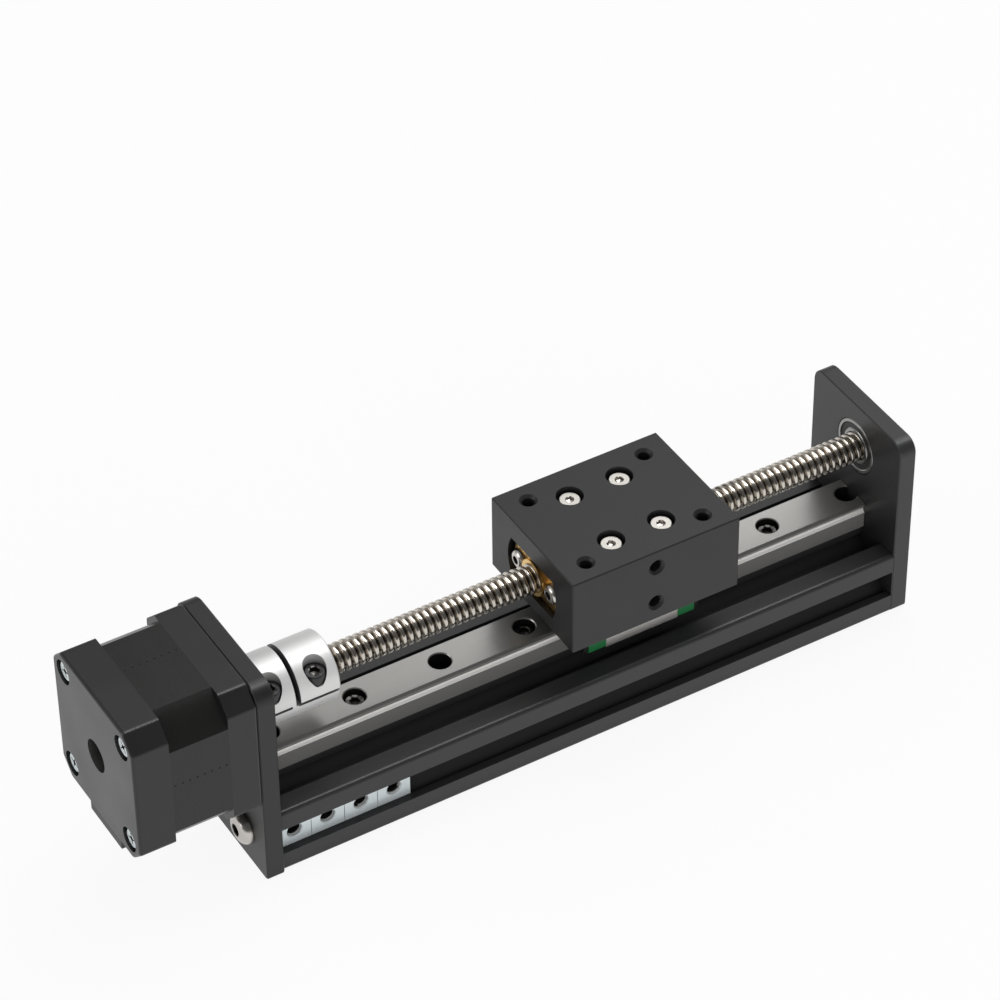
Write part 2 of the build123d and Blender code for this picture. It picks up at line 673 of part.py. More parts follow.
def motor_rotor_magnet():
    """The magnet between the rotor's stacks."""
    _, magnet, _ = rotor_places()
    return ring(ROTOR_RADIUS - ROTOR_MAGNET_INSET, SHAFT_RADIUS + SEAT, *magnet)


def connector_block(grow=0.0):
    """Outer block of the motor's connector, on the underside of the rear cap."""
    x0 = MOTOR_REAR + CONNECTOR_FROM_REAR - grow
    x1 = MOTOR_REAR + CONNECTOR_FROM_REAR + CONNECTOR_WIDTH + grow
    half = CONNECTOR_LENGTH / 2 + grow
    z0 = MOTOR_BOTTOM - CONNECTOR_PROUD
    return bar(x0, x1, -half, half, z0, MOTOR_BOTTOM + CONNECTOR_SUNK + grow)


def motor_connector():
    """Socket housing that takes the motor's plug from below."""
    x0 = MOTOR_REAR + CONNECTOR_FROM_REAR + CONNECTOR_WALL
    x1 = MOTOR_REAR + CONNECTOR_FROM_REAR + CONNECTOR_WIDTH - CONNECTOR_WALL
    half = CONNECTOR_LENGTH / 2 - CONNECTOR_WALL
    z0 = MOTOR_BOTTOM - CONNECTOR_PROUD
    roof = MOTOR_BOTTOM + CONNECTOR_SUNK - CONNECTOR_FLOOR
    housing = connector_block() - bar(x0, x1, -half, half, z0, roof)
    for pin in connector_pin_bars(SEAT):
        housing -= pin
    return housing


def connector_pin_bars(grow=0.0):
    """The connector's pins, from its floor down to just inside its mouth."""
    x = MOTOR_REAR + CONNECTOR_FROM_REAR + CONNECTOR_WIDTH / 2
    half = PIN_SIZE / 2 + grow
    z0 = MOTOR_BOTTOM - CONNECTOR_PROUD + PIN_BELOW_MOUTH
    z1 = MOTOR_BOTTOM + CONNECTOR_SUNK
    first = -PIN_PITCH * (PIN_COUNT - 1) / 2
    places = [first + PIN_PITCH * n for n in range(PIN_COUNT)]
    return [bar(x - half, x + half, y - half, y + half, z0, z1) for y in places]


def motor_connector_pins():
    """Contact pins of the motor's connector."""
    return group(connector_pin_bars())


def clamp_screw_place(side):
    """Place of one clamp screw, its head towards the top and the near side."""
    x = COUPLING_MID + side * CLAMP_SCREW_SPREAD
    turn = Pos(0, 0, AXIS_Z) * Rot(COUPLING_TURN, 0, 0)
    return turn * Pos(x, -CLAMP_SCREW_OFFSET, CLAMP_SCREW_SEAT)


def shaft_coupling():
    """One-piece clamp coupling: a cross slit parts the two jaws, and each has a clamp slit."""
    body = rod(COUPLING_RADIUS, COUPLING_START, COUPLING_END)
    body = chamfer(body.edges().filter_by(GeomType.CIRCLE), length=COUPLING_EDGE)
    body -= rod(SHAFT_RADIUS + SEAT, COUPLING_START, COUPLING_MID)
    body -= rod(SCREW_RADIUS + SEAT, COUPLING_MID, COUPLING_END)
    reach = COUPLING_RADIUS + COUPLING_EDGE
    half_cross = CROSS_SLIT / 2
    half_clamp = CLAMP_SLIT / 2
    left_end = COUPLING_MID - half_cross - CLAMP_BRIDGE
    cuts = [
        bar(COUPLING_MID - half_cross, COUPLING_MID + half_cross, -reach, reach, 0, reach),
        bar(COUPLING_MID, COUPLING_END, -reach, 0, -half_clamp, half_clamp),
        bar(COUPLING_START, left_end, -reach, 0, -half_clamp, half_clamp),
    ]
    turn = Pos(0, 0, AXIS_Z) * Rot(COUPLING_TURN, 0, 0)
    for cut in cuts:
        body -= turn * cut
    stand = Align.CENTER, Align.CENTER, Align.MIN
    hang = Align.CENTER, Align.CENTER, Align.MAX
    bore_depth = CLAMP_SCREW_LENGTH + THREAD_TIP
    for side in (-1, 1):
        place = clamp_screw_place(side)
        body -= place * Cylinder(M3_SOCKET.head + COUNTERBORE_PASS, COUPLING_RADIUS, align=stand)
        body -= place * Cylinder(M3_SOCKET.shank + SEAT, bore_depth, align=hang)
    return body


def coupling_clamp_screws():
    """The two screws that close the coupling's jaws."""
    one = screw(M3_SOCKET, CLAMP_SCREW_LENGTH)
    return group(clamp_screw_place(side) * one for side in (-1, 1))


def lead_screw():
    """Trapezoidal screw, plain here at its thread's outer diameter."""
    body = rod(SCREW_RADIUS, SCREW_START, SCREW_END)
    return chamfer(body.edges().filter_by(GeomType.CIRCLE), length=COUPLING_EDGE)


def nut_outline(radius, flats):
    """Round outline cut flat above and below."""
    return Pos(0, AXIS_Z) * (Circle(radius) & Rectangle(2 * radius, flats))


def lead_nut():
    """Brass nut with a flange cut flat above and below."""
    nut = prism(nut_outline(NUT_FLANGE_RADIUS, NUT_FLANGE_ACROSS_FLATS), NUT_FACE, NUT_SEAT)
    nut += rod(NUT_BODY_RADIUS, NUT_FACE - NUT_BOSS_LENGTH, NUT_SEAT + NUT_TAIL_LENGTH)
    nut -= rod(SCREW_RADIUS + RUNNING, NUT_FACE - NUT_BOSS_LENGTH, NUT_SEAT + NUT_TAIL_LENGTH)
    for side in (-1, 1):
        nut -= rod(M3_BUTTON.shank + SCREW_PASS, NUT_FACE, NUT_SEAT, side * NUT_SCREW_Y)
    return nut


def nut_screws():
    """The two screws that hold the nut in the table."""
    one = screw(M3_BUTTON, NUT_SCREW_LENGTH, domed=True)
    return group(facing_motor(NUT_FACE, side * NUT_SCREW_Y, AXIS_Z) * one for side in (-1, 1))


def tapped_cut(radius, depth):
    """Cut for a tapped hole with a bevelled mouth, from the origin down."""
    hang = Align.CENTER, Align.CENTER, Align.MAX
    return Cylinder(radius, depth, align=hang) + bevelled_mouth(radius, M4_MOUTH)


def carriage_table():
    """Moving table, bored for the nut and drilled for its own and the user's screws."""
    half = TABLE_WIDTH / 2
    table = bar(TABLE_START, TABLE_END, -half, half, BLOCK_TOP, TABLE_TOP)
    table = chamfer(table.edges(), length=TABLE_EDGE)
    pocket = nut_outline(
        NUT_FLANGE_RADIUS + 2 * NUT_POCKET_CLEARANCE,
        NUT_FLANGE_ACROSS_FLATS + NUT_POCKET_CLEARANCE,
    )
    table -= prism(pocket, TABLE_START, NUT_SEAT)
    table -= rod(NUT_BODY_RADIUS + NUT_BORE_CLEARANCE, NUT_SEAT, TABLE_END)
    for side in (-1, 1):
        end = NUT_FACE + NUT_SCREW_LENGTH + THREAD_TIP
        table -= rod(M3_BUTTON.shank + SEAT, NUT_SEAT, end, side * NUT_SCREW_Y)
        tapped = tapped_cut(M4_CORE_RADIUS, SIDE_HOLE_DEPTH)
        for drop in (SIDE_HOLE_BELOW_TOP, SIDE_HOLE_BELOW_TOP + SIDE_HOLE_PITCH):
            table -= Pos(TABLE_MID, side * half, TABLE_TOP - drop) * Rot(-90 * side, 0, 0) * tapped
    for x, y in corners(BLOCK_BOLT_X, BLOCK_BOLT_Y):
        x += TABLE_MID
        table -= post(M3_LOW.shank + SCREW_PASS, BLOCK_TOP, TABLE_TOP, x, y)
        table -= post(M3_LOW.head + TABLE_POCKET_PASS, HEAD_SEAT_Z, TABLE_TOP, x, y)
    for x, y in corners(TABLE_BOLT_X, TABLE_BOLT_Y):
        table -= Pos(TABLE_MID + x, y, TABLE_TOP) * tapped_cut(M4_CORE_RADIUS, TABLE_BOLT_DEPTH)
    return table


def block_screws():
    """Low head screws that hold the table to the guide block."""
    one = screw(M3_LOW, HEAD_SEAT_Z - BLOCK_TOP + BLOCK_THREAD_DEPTH - SCREW_PASS)
    places = corners(BLOCK_BOLT_X, BLOCK_BOLT_Y)
    return group(Pos(TABLE_MID + x, y, HEAD_SEAT_Z) * one for x, y in places)


def block_section(inset, side_clearance):
    """Section of the guide block or of a piece on its end, open over the rail."""
    height = BLOCK_TOP - BLOCK_BOTTOM - 2 * inset
    middle = (BLOCK_TOP + BLOCK_BOTTOM) / 2
    outline = Pos(0, middle) * Rectangle(BLOCK_WIDTH - 2 * inset, height)
    outline = chamfer(outline.vertices(), length=BLOCK_EDGE)
    channel_top = RAIL_TOP + BLOCK_TOP_CLEARANCE
    channel_height = channel_top - BLOCK_BOTTOM + BLOCK_BELLY
    channel = Rectangle(RAIL_WIDTH + 2 * side_clearance, channel_height)
    return outline - Pos(0, channel_top - channel_height / 2) * channel


def cap_screw_places():
    """Height and sides of the screws that hold the block's end pieces."""
    z = BLOCK_TOP - CAP_SCREW_BELOW_TOP
    return [(side * CAP_SCREW_Y, z) for side in (-1, 1)]


def bearing_block():
    """Steel guide block with its two ball races, return bores and threads."""
    section = block_section(0, BLOCK_SIDE_CLEARANCE)
    for side in (-1, 1):
        section -= Pos(side * RACE_Y, RACE_Z) * Circle(RACE_RADIUS)
        section -= Pos(side * RETURN_BORE_Y, RACE_Z) * Circle(RETURN_BORE_RADIUS)
    half = BLOCK_STEEL_LENGTH / 2
    block = prism(section, TABLE_MID - half, TABLE_MID + half)
    for x, y in corners(BLOCK_BOLT_X, BLOCK_BOLT_Y):
        hole = M3_LOW.shank + SEAT
        block -= post(hole, BLOCK_TOP - BLOCK_THREAD_DEPTH, BLOCK_TOP, TABLE_MID + x, y)
    for y, z in cap_screw_places():
        for side in (-1, 1):
            ends = sorted((side * half, side * (half - CAP_SCREW_BITE - THREAD_TIP)))
            block -= rod(M2_PAN.shank + SEAT, TABLE_MID + ends[0], TABLE_MID + ends[1], y, z)
    return block


def block_end_piece(side, inset, clearance, start, length, hole):
    """Piece on one end of the guide block, pierced for the end screws."""
    ends = sorted((side * start, side * (start + length)))
    x0, x1 = TABLE_MID + ends[0], TABLE_MID + ends[1]
    piece = prism(block_section(inset, clearance), x0, x1)
    for y, z in cap_screw_places():
        piece -= rod(hole, x0, x1, y, z)
    return piece


def block_end_cap(side):
    """Plastic cap that turns the balls round at one end of the block."""
    clearance = BLOCK_SIDE_CLEARANCE + CAP_INSET
    hole = M2_PAN.shank + SCREW_PASS
    start = BLOCK_STEEL_LENGTH / 2
    return block_end_piece(side, CAP_INSET, clearance, start, BLOCK_CAP_LENGTH, hole)


def block_seal(side):
    """Wiper seal on the outer face of one end cap."""
    hole = M2_PAN.head + SCREW_PASS
    start = BLOCK_STEEL_LENGTH / 2 + BLOCK_CAP_LENGTH
    return block_end_piece(side, SEAL_INSET, BLOCK_SIDE_CLEARANCE, start, BLOCK_SEAL_LENGTH, hole)


def block_end_cap_motor_side():
    """End cap towards the motor."""
    return block_end_cap(-1)


def block_end_cap_far_side():
    """End cap towards the far plate."""
    return block_end_cap(1)


def block_seal_motor_side():
    """Seal towards the motor."""
    return block_seal(-1)


def block_seal_far_side():
    """Seal towards the far plate."""
    return block_seal(1)


def block_cap_screws():
    """Small screws that hold the end caps to the steel block."""
    one = screw(M2_PAN, BLOCK_CAP_LENGTH + CAP_SCREW_BITE)
    reach = BLOCK_STEEL_LENGTH / 2 + BLOCK_CAP_LENGTH
    near = [facing_motor(TABLE_MID - reach, y, z) * one for y, z in cap_screw_places()]
    far = [facing_far(TABLE_MID + reach, y, z) * one for y, z in cap_screw_places()]
    return group(near + far)


def guide_balls():
    """The balls that carry the block, in the races on both sides of the rail."""
    first = TABLE_MID - BALL_PITCH * (BALLS_PER_ROW - 1) / 2
    ball = Sphere(BALL_RADIUS)
    places = [(first + BALL_PITCH * n, side * RACE_Y) for side in (-1, 1) for n in range(BALLS_PER_ROW)]
    return group(Pos(x, y, RACE_Z) * ball for x, y in places)


SUB_PARTS = (
    base_extrusion,
    guide_rail,
    rail_screws,
    motor_plate,
    motor_plate_screws,
    end_plate,
    end_plate_screws,
    slot_nuts,
    end_bearing_outer_ring,
    end_bearing_shields,
    motor_front_cap,
    motor_stator,
    motor_windings,
    motor_rear_cap,
    motor_case_screws,
    motor_mount_screws,
    motor_bearing_outer_rings,
    motor_preload_washer,
    motor_connector,
    motor_connector_pins,
    motor_shaft,
    motor_rotor_stacks,
    motor_rotor_magnet,
    motor_bearing_inner_rings,
    motor_bearing_balls,
    shaft_coupling,
    coupling_clamp_screws,
    lead_screw,
    end_bearing_inner_ring,
    end_bearing_balls,
    carriage_table,
    block_screws,
    bearing_block,
    block_end_cap_motor_side,
    block_end_cap_far_side,
    block_seal_motor_side,
    block_seal_far_side,
    block_cap_screws,
    guide_balls,
    lead_nut,
    nut_screws,
)

os.makedirs("parts", exist_ok=True)
for make in SUB_PARTS:
    export_step(make(), f"parts/{make.__name__}.step")
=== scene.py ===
import logging
import math
from dataclasses import dataclass, replace
from enum import Enum
from typing import Callable, Sequence

import bmesh
import bpy
from bmesh.types import BMEdge, BMesh, BMVert
from bpy.types import Material, Mesh, Node, NodeSocket, NodeTree, Object
from mathutils import Matrix, Vector


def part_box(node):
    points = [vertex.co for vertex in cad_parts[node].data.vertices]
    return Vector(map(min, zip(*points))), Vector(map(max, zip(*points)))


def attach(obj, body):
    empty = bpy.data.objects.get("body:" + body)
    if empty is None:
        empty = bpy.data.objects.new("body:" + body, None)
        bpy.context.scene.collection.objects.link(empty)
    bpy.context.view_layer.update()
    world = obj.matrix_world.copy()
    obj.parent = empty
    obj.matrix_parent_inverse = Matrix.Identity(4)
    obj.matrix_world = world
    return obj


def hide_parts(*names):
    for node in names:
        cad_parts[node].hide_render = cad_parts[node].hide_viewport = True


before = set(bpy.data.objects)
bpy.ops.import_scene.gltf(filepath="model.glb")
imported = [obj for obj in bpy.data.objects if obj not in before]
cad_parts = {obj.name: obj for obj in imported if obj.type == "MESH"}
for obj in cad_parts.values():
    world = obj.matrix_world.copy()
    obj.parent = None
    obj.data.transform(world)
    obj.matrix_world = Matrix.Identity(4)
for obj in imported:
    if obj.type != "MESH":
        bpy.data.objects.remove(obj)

Pair = tuple[float, float]
Triple = tuple[float, float, float]

LOG = logging.getLogger("slide_stage")
MM = 0.001
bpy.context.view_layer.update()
AXIS_HEIGHT = sum(corner.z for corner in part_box("lead_screw")) / 2


class Pattern(Enum):
    """Direction in which a finish's fine lines run."""

    ALONG_X = (0.03, 1.0, 1.0)
    ALONG_Y = (1.0, 0.03, 1.0)
    EVEN = (1.0, 1.0, 1.0)
    DIAGONAL = (0.7, 0.12, 0.7)
    TURNED = (1.0, 1.0, 0.0)


class Outline(Enum):
    """Shape of one ring of a turned or pressed fastener."""

    ROUND = "round"
    HEXAGON = "hexagon"
    CROSS = "cross"
    KNURL = "knurl"


@dataclass(frozen=True)
class Links:
    """Short way to place and join nodes in the tree of a material, a world or a group."""

    tree: NodeTree

    def node(self, kind: str, **settings: object) -> Node:
        """Add a node.

        Args:
            kind: Type name of the node without its common start.
            **settings: Attributes to set on the node.

        Returns:
            The new node.
        """
        made = self.tree.nodes.new("ShaderNode" + kind)
        for key, value in settings.items():
            setattr(made, key, value)
        return made

    def math(self, how: str, first: object, second: object = 0.0) -> NodeSocket:
        """Add a math node.

        Args:
            how: Operation of the node.
            first: Number or output for the first input.
            second: Number or output for the second input.

        Returns:
            The node's output.
        """
        return self.fill(self.node("Math", operation=how), {0: first, 1: second}).outputs[0]

    def fill(self, made: Node, values: dict[str | int, object]) -> Node:
        """Set or join the inputs of a node.

        Args:
            made: Node to fill.
            values: Number, colour or other node's output for each input, by name or place.

        Returns:
            The same node.
        """
        for label, value in values.items():
            if isinstance(value, NodeSocket):
                self.tree.links.new(value, made.inputs[label])
            else:
                made.inputs[label].default_value = value
        return made

    def ramp(
        self, value: NodeSocket, start: Sequence[float], end: Sequence[float], how: str = "LINEAR"
    ) -> NodeSocket:
        """Map a value from one range to another and hold it past the ends.

        Args:
            value: Output to map.
            start: Range that the value has.
            end: Range that it gets.
            how: Interpolation of the node.

        Returns:
            The mapped value.
        """
        values = {
            "Value": value, "From Min": start[0], "From Max": start[1], "To Min": end[0], "To Max": end[1],
        }
        return self.fill(self.node("MapRange", interpolation_type=how), values).outputs["Result"]

    def axis_parts(self, coordinates: str) -> Node:
        """Split texture coordinates into their three numbers.

        Args:
            coordinates: Name of the coordinates.

        Returns:
            Node with the outputs X, Y and Z.
        """
        place = self.node("TexCoord").outputs[coordinates]
        return self.fill(self.node("SeparateXYZ"), {"Vector": place})


def start_group(
    name: str, numbers: Sequence[str], results: Sequence[str]
) -> tuple[Links, Node, Node]:
    """Make an empty group that takes a vector and some numbers.

    Args:
        name: Name of the group.
        numbers: Name of each number that it takes.
        results: Name of each number that it gives.

    Returns:
        Links for the new group, its input node and its output node.
    """
    tree = bpy.data.node_groups.new(name, "ShaderNodeTree")
    tree.interface.new_socket("Vector", in_out="INPUT", socket_type="NodeSocketVector")
    for labels, way in ((numbers, "INPUT"), (results, "OUTPUT")):
        for label in labels:
            tree.interface.new_socket(label, in_out=way, socket_type="NodeSocketFloat")
    return Links(tree), tree.nodes.new("NodeGroupInput"), tree.nodes.new("NodeGroupOutput")


def surface_grain() -> NodeTree:
    """Give fine stretched grain plus slow cloudy variation.

    Returns:
        Group with outputs Height and Cloud.
    """
    links, start, end = start_group("surface_grain", ["Scale", "Cloud Scale"], ["Height", "Cloud"])
    given = start.outputs
    fine = {"Vector": given["Vector"], "Scale": given["Scale"], "Detail": 4.0, "Roughness": 0.65}
    slow = {"Vector": given["Vector"], "Scale": given["Cloud Scale"], "Detail": 2.0}
    for label, values in (("Height", fine), ("Cloud", slow)):
        noise = links.fill(links.node("TexNoise"), values)
        links.fill(end, {label: noise.outputs["Fac"]})
    return links.tree


def stacked_sheets() -> NodeTree:
    """Give a regular pattern of thin sheets stacked along X.

    Returns:
        Group with the output Height.
    """
    links, start, end = start_group("stacked_sheets", ["Pitch"], ["Height"])
    parts = links.fill(links.node("SeparateXYZ"), {"Vector": start.outputs["Vector"]})
    turns = links.math("DIVIDE", parts.outputs["X"], start.outputs["Pitch"])
    edge = links.math("MULTIPLY", links.math("PINGPONG", turns, 0.5), 6.0)
    links.fill(end, {"Height": links.math("MINIMUM", edge, 1.0)})
    return links.tree


CLOUD_SHARE = 0.6
STREAK_SHARE = 0.5
PAINTED_SHADE_POWER = 1.2
PAINTED_SHADE_SAMPLES = 8
COAT_ROUGHNESS = 0.2
SURFACE_GRAIN = surface_grain()
STACKED_SHEETS = stacked_sheets()


@dataclass(frozen=True)
class Finish:
    """One surface finish, measured in metres where it has a scale."""

    name: str
    slot: str
    color: Triple
    shade: Triple
    metallic: float = 0.0
    roughness: float = 0.4
    roughness_swing: float = 0.08
    pattern: Pattern = Pattern.EVEN
    grain_scale: float = 9000.0
    grain_depth: float = 2e-5
    cloud_scale: float = 60.0
    coat: float = 0.0
    specular: float = 0.5
    slant_degrees: float = 50.0
    sheet_pitch: float = 0.0
    sheet_depth: float = 0.0
    painted_shade_reach: float = 0.0

    def _vector(self, links: Links) -> NodeSocket:
        """Place the coordinates that the pattern reads.

        Args:
            links: Links of the material's tree.

        Returns:
            Output that holds the coordinates.
        """
        if self.pattern is not Pattern.TURNED:
            place = links.node("TexCoord").outputs["Object"]
            turn = links.fill(links.node("Mapping"), {"Vector": place, "Scale": self.pattern.value})
            if self.pattern is Pattern.DIAGONAL:
                turn.inputs["Rotation"].default_value = (math.radians(self.slant_degrees), 0.0, 0.0)
            return turn.outputs["Vector"]
        parts = links.axis_parts("Object")
        above = links.math("SUBTRACT", parts.outputs["Z"], AXIS_HEIGHT)
        squares = [links.math("POWER", side, 2.0) for side in (parts.outputs["Y"], above)]
        radius = links.math("SQRT", links.math("ADD", *squares))
        packed = links.fill(links.node("CombineXYZ"), {"X": parts.outputs["X"], "Y": radius})
        return packed.outputs["Vector"]

    def _tint(self, links: Links, grain: Node) -> NodeSocket:
        """Blend the finish's two colours, and paint shade into hollows where the finish has a reach for it.

        Args:
            links: Links of the material's tree.
            grain: Group that gives the grain.

        Returns:
            Output that holds the colour.
        """
        cloud = links.math("MULTIPLY", grain.outputs["Cloud"], CLOUD_SHARE)
        streak = links.math("MULTIPLY", grain.outputs["Height"], STREAK_SHARE)
        blend = {
            "A": (*self.color, 1.0), "B": (*self.shade, 1.0), "Factor": links.math("ADD", cloud, streak),
        }
        color = links.fill(links.node("Mix", data_type="RGBA"), blend).outputs["Result"]
        if not self.painted_shade_reach:
            return color
        # Painted shade: ambient occlusion darkens the colour in hollows, corners and between parts.
        painted_shade = links.node("AmbientOcclusion", samples=PAINTED_SHADE_SAMPLES, only_local=False)
        links.fill(painted_shade, {"Distance": self.painted_shade_reach})
        unshaded_share = links.math("POWER", painted_shade.outputs["AO"], PAINTED_SHADE_POWER)
        blend = {"A": (0.0, 0.0, 0.0, 1.0), "B": color, "Factor": unshaded_share}
        return links.fill(links.node("Mix", data_type="RGBA"), blend).outputs["Result"]

    def _relief(self, links: Links, grain: Node) -> NodeSocket:
        """Raise the grain, and the edges of stacked sheets where the finish has them.

        Args:
            links: Links of the material's tree.
            grain: Group that gives the grain.

        Returns:
            Output that holds the normal.
        """
        values = {"Distance": self.grain_depth, "Height": grain.outputs["Height"]}
        if self.sheet_pitch:
            place = links.node("TexCoord").outputs["Object"]
            sheets = links.node("Group", node_tree=STACKED_SHEETS)
            links.fill(sheets, {"Pitch": self.sheet_pitch, "Vector": place})
            groove = {"Distance": self.sheet_depth, "Height": sheets.outputs["Height"]}
            values["Normal"] = links.fill(links.node("Bump"), groove).outputs["Normal"]
        return links.fill(links.node("Bump"), values).outputs["Normal"]

    def material(self) -> Material:
        """Build the material, or give the one that was built before.

        Returns:
            The material of this finish.
        """
        known = bpy.data.materials.get(self.name)
        if known:
            return known
        made = bpy.data.materials.new(self.name)
        made.use_nodes = True
        links = Links(made.node_tree)
        shader = made.node_tree.nodes["Principled BSDF"]
        grain = links.node("Group", node_tree=SURFACE_GRAIN)
        sizes = {"Scale": self.grain_scale, "Cloud Scale": self.cloud_scale}
        links.fill(grain, {"Vector": self._vector(links), **sizes})
        swing = links.math("MULTIPLY", grain.outputs["Cloud"], 2.0 * self.roughness_swing)
        links.fill(shader, {
            "Metallic": self.metallic,
            "Coat Weight": self.coat,
            "Coat Roughness": COAT_ROUGHNESS,
            "Specular IOR Level": self.specular,
            "Base Color": self._tint(links, grain),
            "Roughness": links.math("ADD", swing, self.roughness - self.roughness_swing),
            "Normal": self._relief(links, grain),
        })
        return made


# A finish with a shade reach gets painted shade darkening its colour in hollows.
ANODISED = Finish(
    "black_anodised_satin", "black_anodised", (0.014, 0.014, 0.0145), (0.020, 0.020, 0.0205),
    roughness=0.42, grain_scale=14000.0, grain_depth=8e-6, specular=0.34, painted_shade_reach=0.003,
)
PROFILE = Finish(
    "black_anodised_profile", "black_anodised", (0.019, 0.019, 0.0195), (0.025, 0.025, 0.0255),
    roughness=0.38, pattern=Pattern.ALONG_X, grain_scale=5000.0, grain_depth=1e-5, specular=0.36,
    painted_shade_reach=0.004,
)
PLATE = Finish(
    "black_anodised_plate", "black_anodised", (0.010, 0.010, 0.0105), (0.016, 0.016, 0.0165),
    pattern=Pattern.DIAGONAL, grain_scale=6000.0, grain_depth=1e-5, specular=0.38,
)
# Painted light: a lighter copy of the plate finish, so the far plate's faces read as more brightly lit.
FAR_PLATE_LIGHTENED = replace(
    PLATE, name="black_anodised_far_plate_painted_light", color=(0.020, 0.020, 0.0205), shade=(0.026, 0.026, 0.0265)
)
MOTOR_COAT = Finish(
    "motor_cap_coat", "motor_cap", (0.010, 0.010, 0.0105), (0.015, 0.015, 0.0155),
    roughness=0.32, grain_scale=12000.0, grain_depth=4e-6, specular=0.38,
)
LAMINATION = Finish(
    "motor_lamination_stack", "motor_lamination", (0.006, 0.006, 0.0058), (0.010, 0.010, 0.0095),
    roughness=0.30, pattern=Pattern.ALONG_Y, grain_scale=4000.0, grain_depth=6e-6, sheet_pitch=0.0005,
    sheet_depth=2e-5, specular=0.36,
)
SILVER = Finish(
    "coupling_silver_anodised", "silver_anodised", (0.74, 0.74, 0.735), (0.66, 0.66, 0.655),
    metallic=0.46, roughness=0.46, pattern=Pattern.TURNED, grain_depth=8e-6, painted_shade_reach=0.004,
)
RAIL_STEEL = Finish(
    "rail_ground_steel", "ground_steel", (0.38, 0.375, 0.362), (0.28, 0.276, 0.266),
    metallic=0.88, roughness=0.30, pattern=Pattern.ALONG_X, grain_scale=4000.0, grain_depth=1e-5,
)
# Painted light: a less metallic, slightly lighter copy of the rail steel, so the rail's sides read brighter.
RAIL_SIDE_LIGHTENED = replace(
    RAIL_STEEL, name="rail_side_painted_light_steel", color=(0.40, 0.395, 0.38), shade=(0.32, 0.315, 0.305), metallic=0.62
)
# Painted highlight: a much lighter, less metallic copy of the rail steel for the upward-facing lower halves
# of the ball races.
RAIL_RACE_HIGHLIGHT = replace(
    RAIL_STEEL, name="rail_race_painted_highlight_steel", color=(0.80, 0.785, 0.76), shade=(0.70, 0.685, 0.66), metallic=0.3
)
BLOCK_STEEL = Finish(
    "block_ground_steel", "ground_steel", (0.62, 0.60, 0.57), (0.50, 0.49, 0.47),
    metallic=1.0, roughness=0.36, pattern=Pattern.ALONG_X, grain_scale=5000.0, grain_depth=1e-5,
)
SCREW_STEEL = Finish(
    "lead_screw_rolled_steel", "screw_steel", (0.66, 0.62, 0.56), (0.54, 0.50, 0.45),
    metallic=1.0, roughness=0.22, roughness_swing=0.03, pattern=Pattern.TURNED, grain_scale=7000.0,
    grain_depth=3e-6,
)
# Painted shade: near-black steel for the roots of the lead screw's thread.
SCREW_ROOT_SHADE = Finish(
    "lead_screw_thread_root_painted_shade", "screw_steel", (0.07, 0.063, 0.053), (0.04, 0.036, 0.030),
    metallic=1.0, roughness=0.34, pattern=Pattern.TURNED,
)
SHAFT_STEEL = Finish(
    "motor_shaft_steel", "screw_steel", (0.60, 0.58, 0.55), (0.48, 0.46, 0.44),
    metallic=1.0, roughness=0.22, pattern=Pattern.TURNED,
)
BEARING = Finish(
    "bearing_polished_steel", "bearing_steel", (0.66, 0.65, 0.64), (0.55, 0.54, 0.53),
    metallic=1.0, roughness=0.18, pattern=Pattern.TURNED,
)
BEARING_RING = Finish(
    "bearing_ring_dark_steel", "bearing_steel", (0.34, 0.34, 0.33), (0.25, 0.25, 0.245),
    metallic=1.0, roughness=0.28, pattern=Pattern.TURNED,
)
# Painted shade: near-black steel for the faces inside the rail's holes.
RAIL_HOLE_SHADE = Finish(
    "rail_hole_painted_shade_steel", "ground_steel", (0.030, 0.029, 0.028), (0.018, 0.018, 0.018),
    metallic=0.8, roughness=0.34,
)
CUT_METAL = Finish(
    "motor_bore_cut_metal", "motor_cap", (0.16, 0.16, 0.155), (0.11, 0.11, 0.105),
    metallic=0.8, roughness=0.34, pattern=Pattern.TURNED, painted_shade_reach=0.003,
)
BALL = Finish(
    "bearing_ball_steel", "bearing_steel", (0.72, 0.72, 0.73), (0.66, 0.66, 0.67),
    metallic=1.0, roughness=0.08, roughness_swing=0.02,
)
STAINLESS = Finish(
    "stainless_screw_steel", "stainless", (0.66, 0.63, 0.59), (0.54, 0.51, 0.48),
    metallic=1.0, roughness=0.24, grain_scale=6000.0, grain_depth=1e-5,
)
BRIGHT_STEEL = Finish(
    "bright_low_head_steel", "stainless", (0.60, 0.58, 0.535), (0.52, 0.50, 0.465),
    metallic=0.9, roughness=0.34, grain_scale=6000.0, grain_depth=5e-6,
)
# Painted shade: dark steel put inside screw recesses and deep in tapped bores.
SOCKET_SHADE = Finish(
    "socket_recess_painted_shade_steel", "stainless", (0.15, 0.145, 0.135), (0.09, 0.087, 0.08),
    metallic=1.0, roughness=0.36,
)
ZINC = Finish(
    "zinc_plated_steel", "zinc_steel", (0.68, 0.735, 0.75), (0.58, 0.64, 0.66),
    metallic=0.45, roughness=0.42, grain_scale=2500.0, grain_depth=1e-5, cloud_scale=220.0,
)
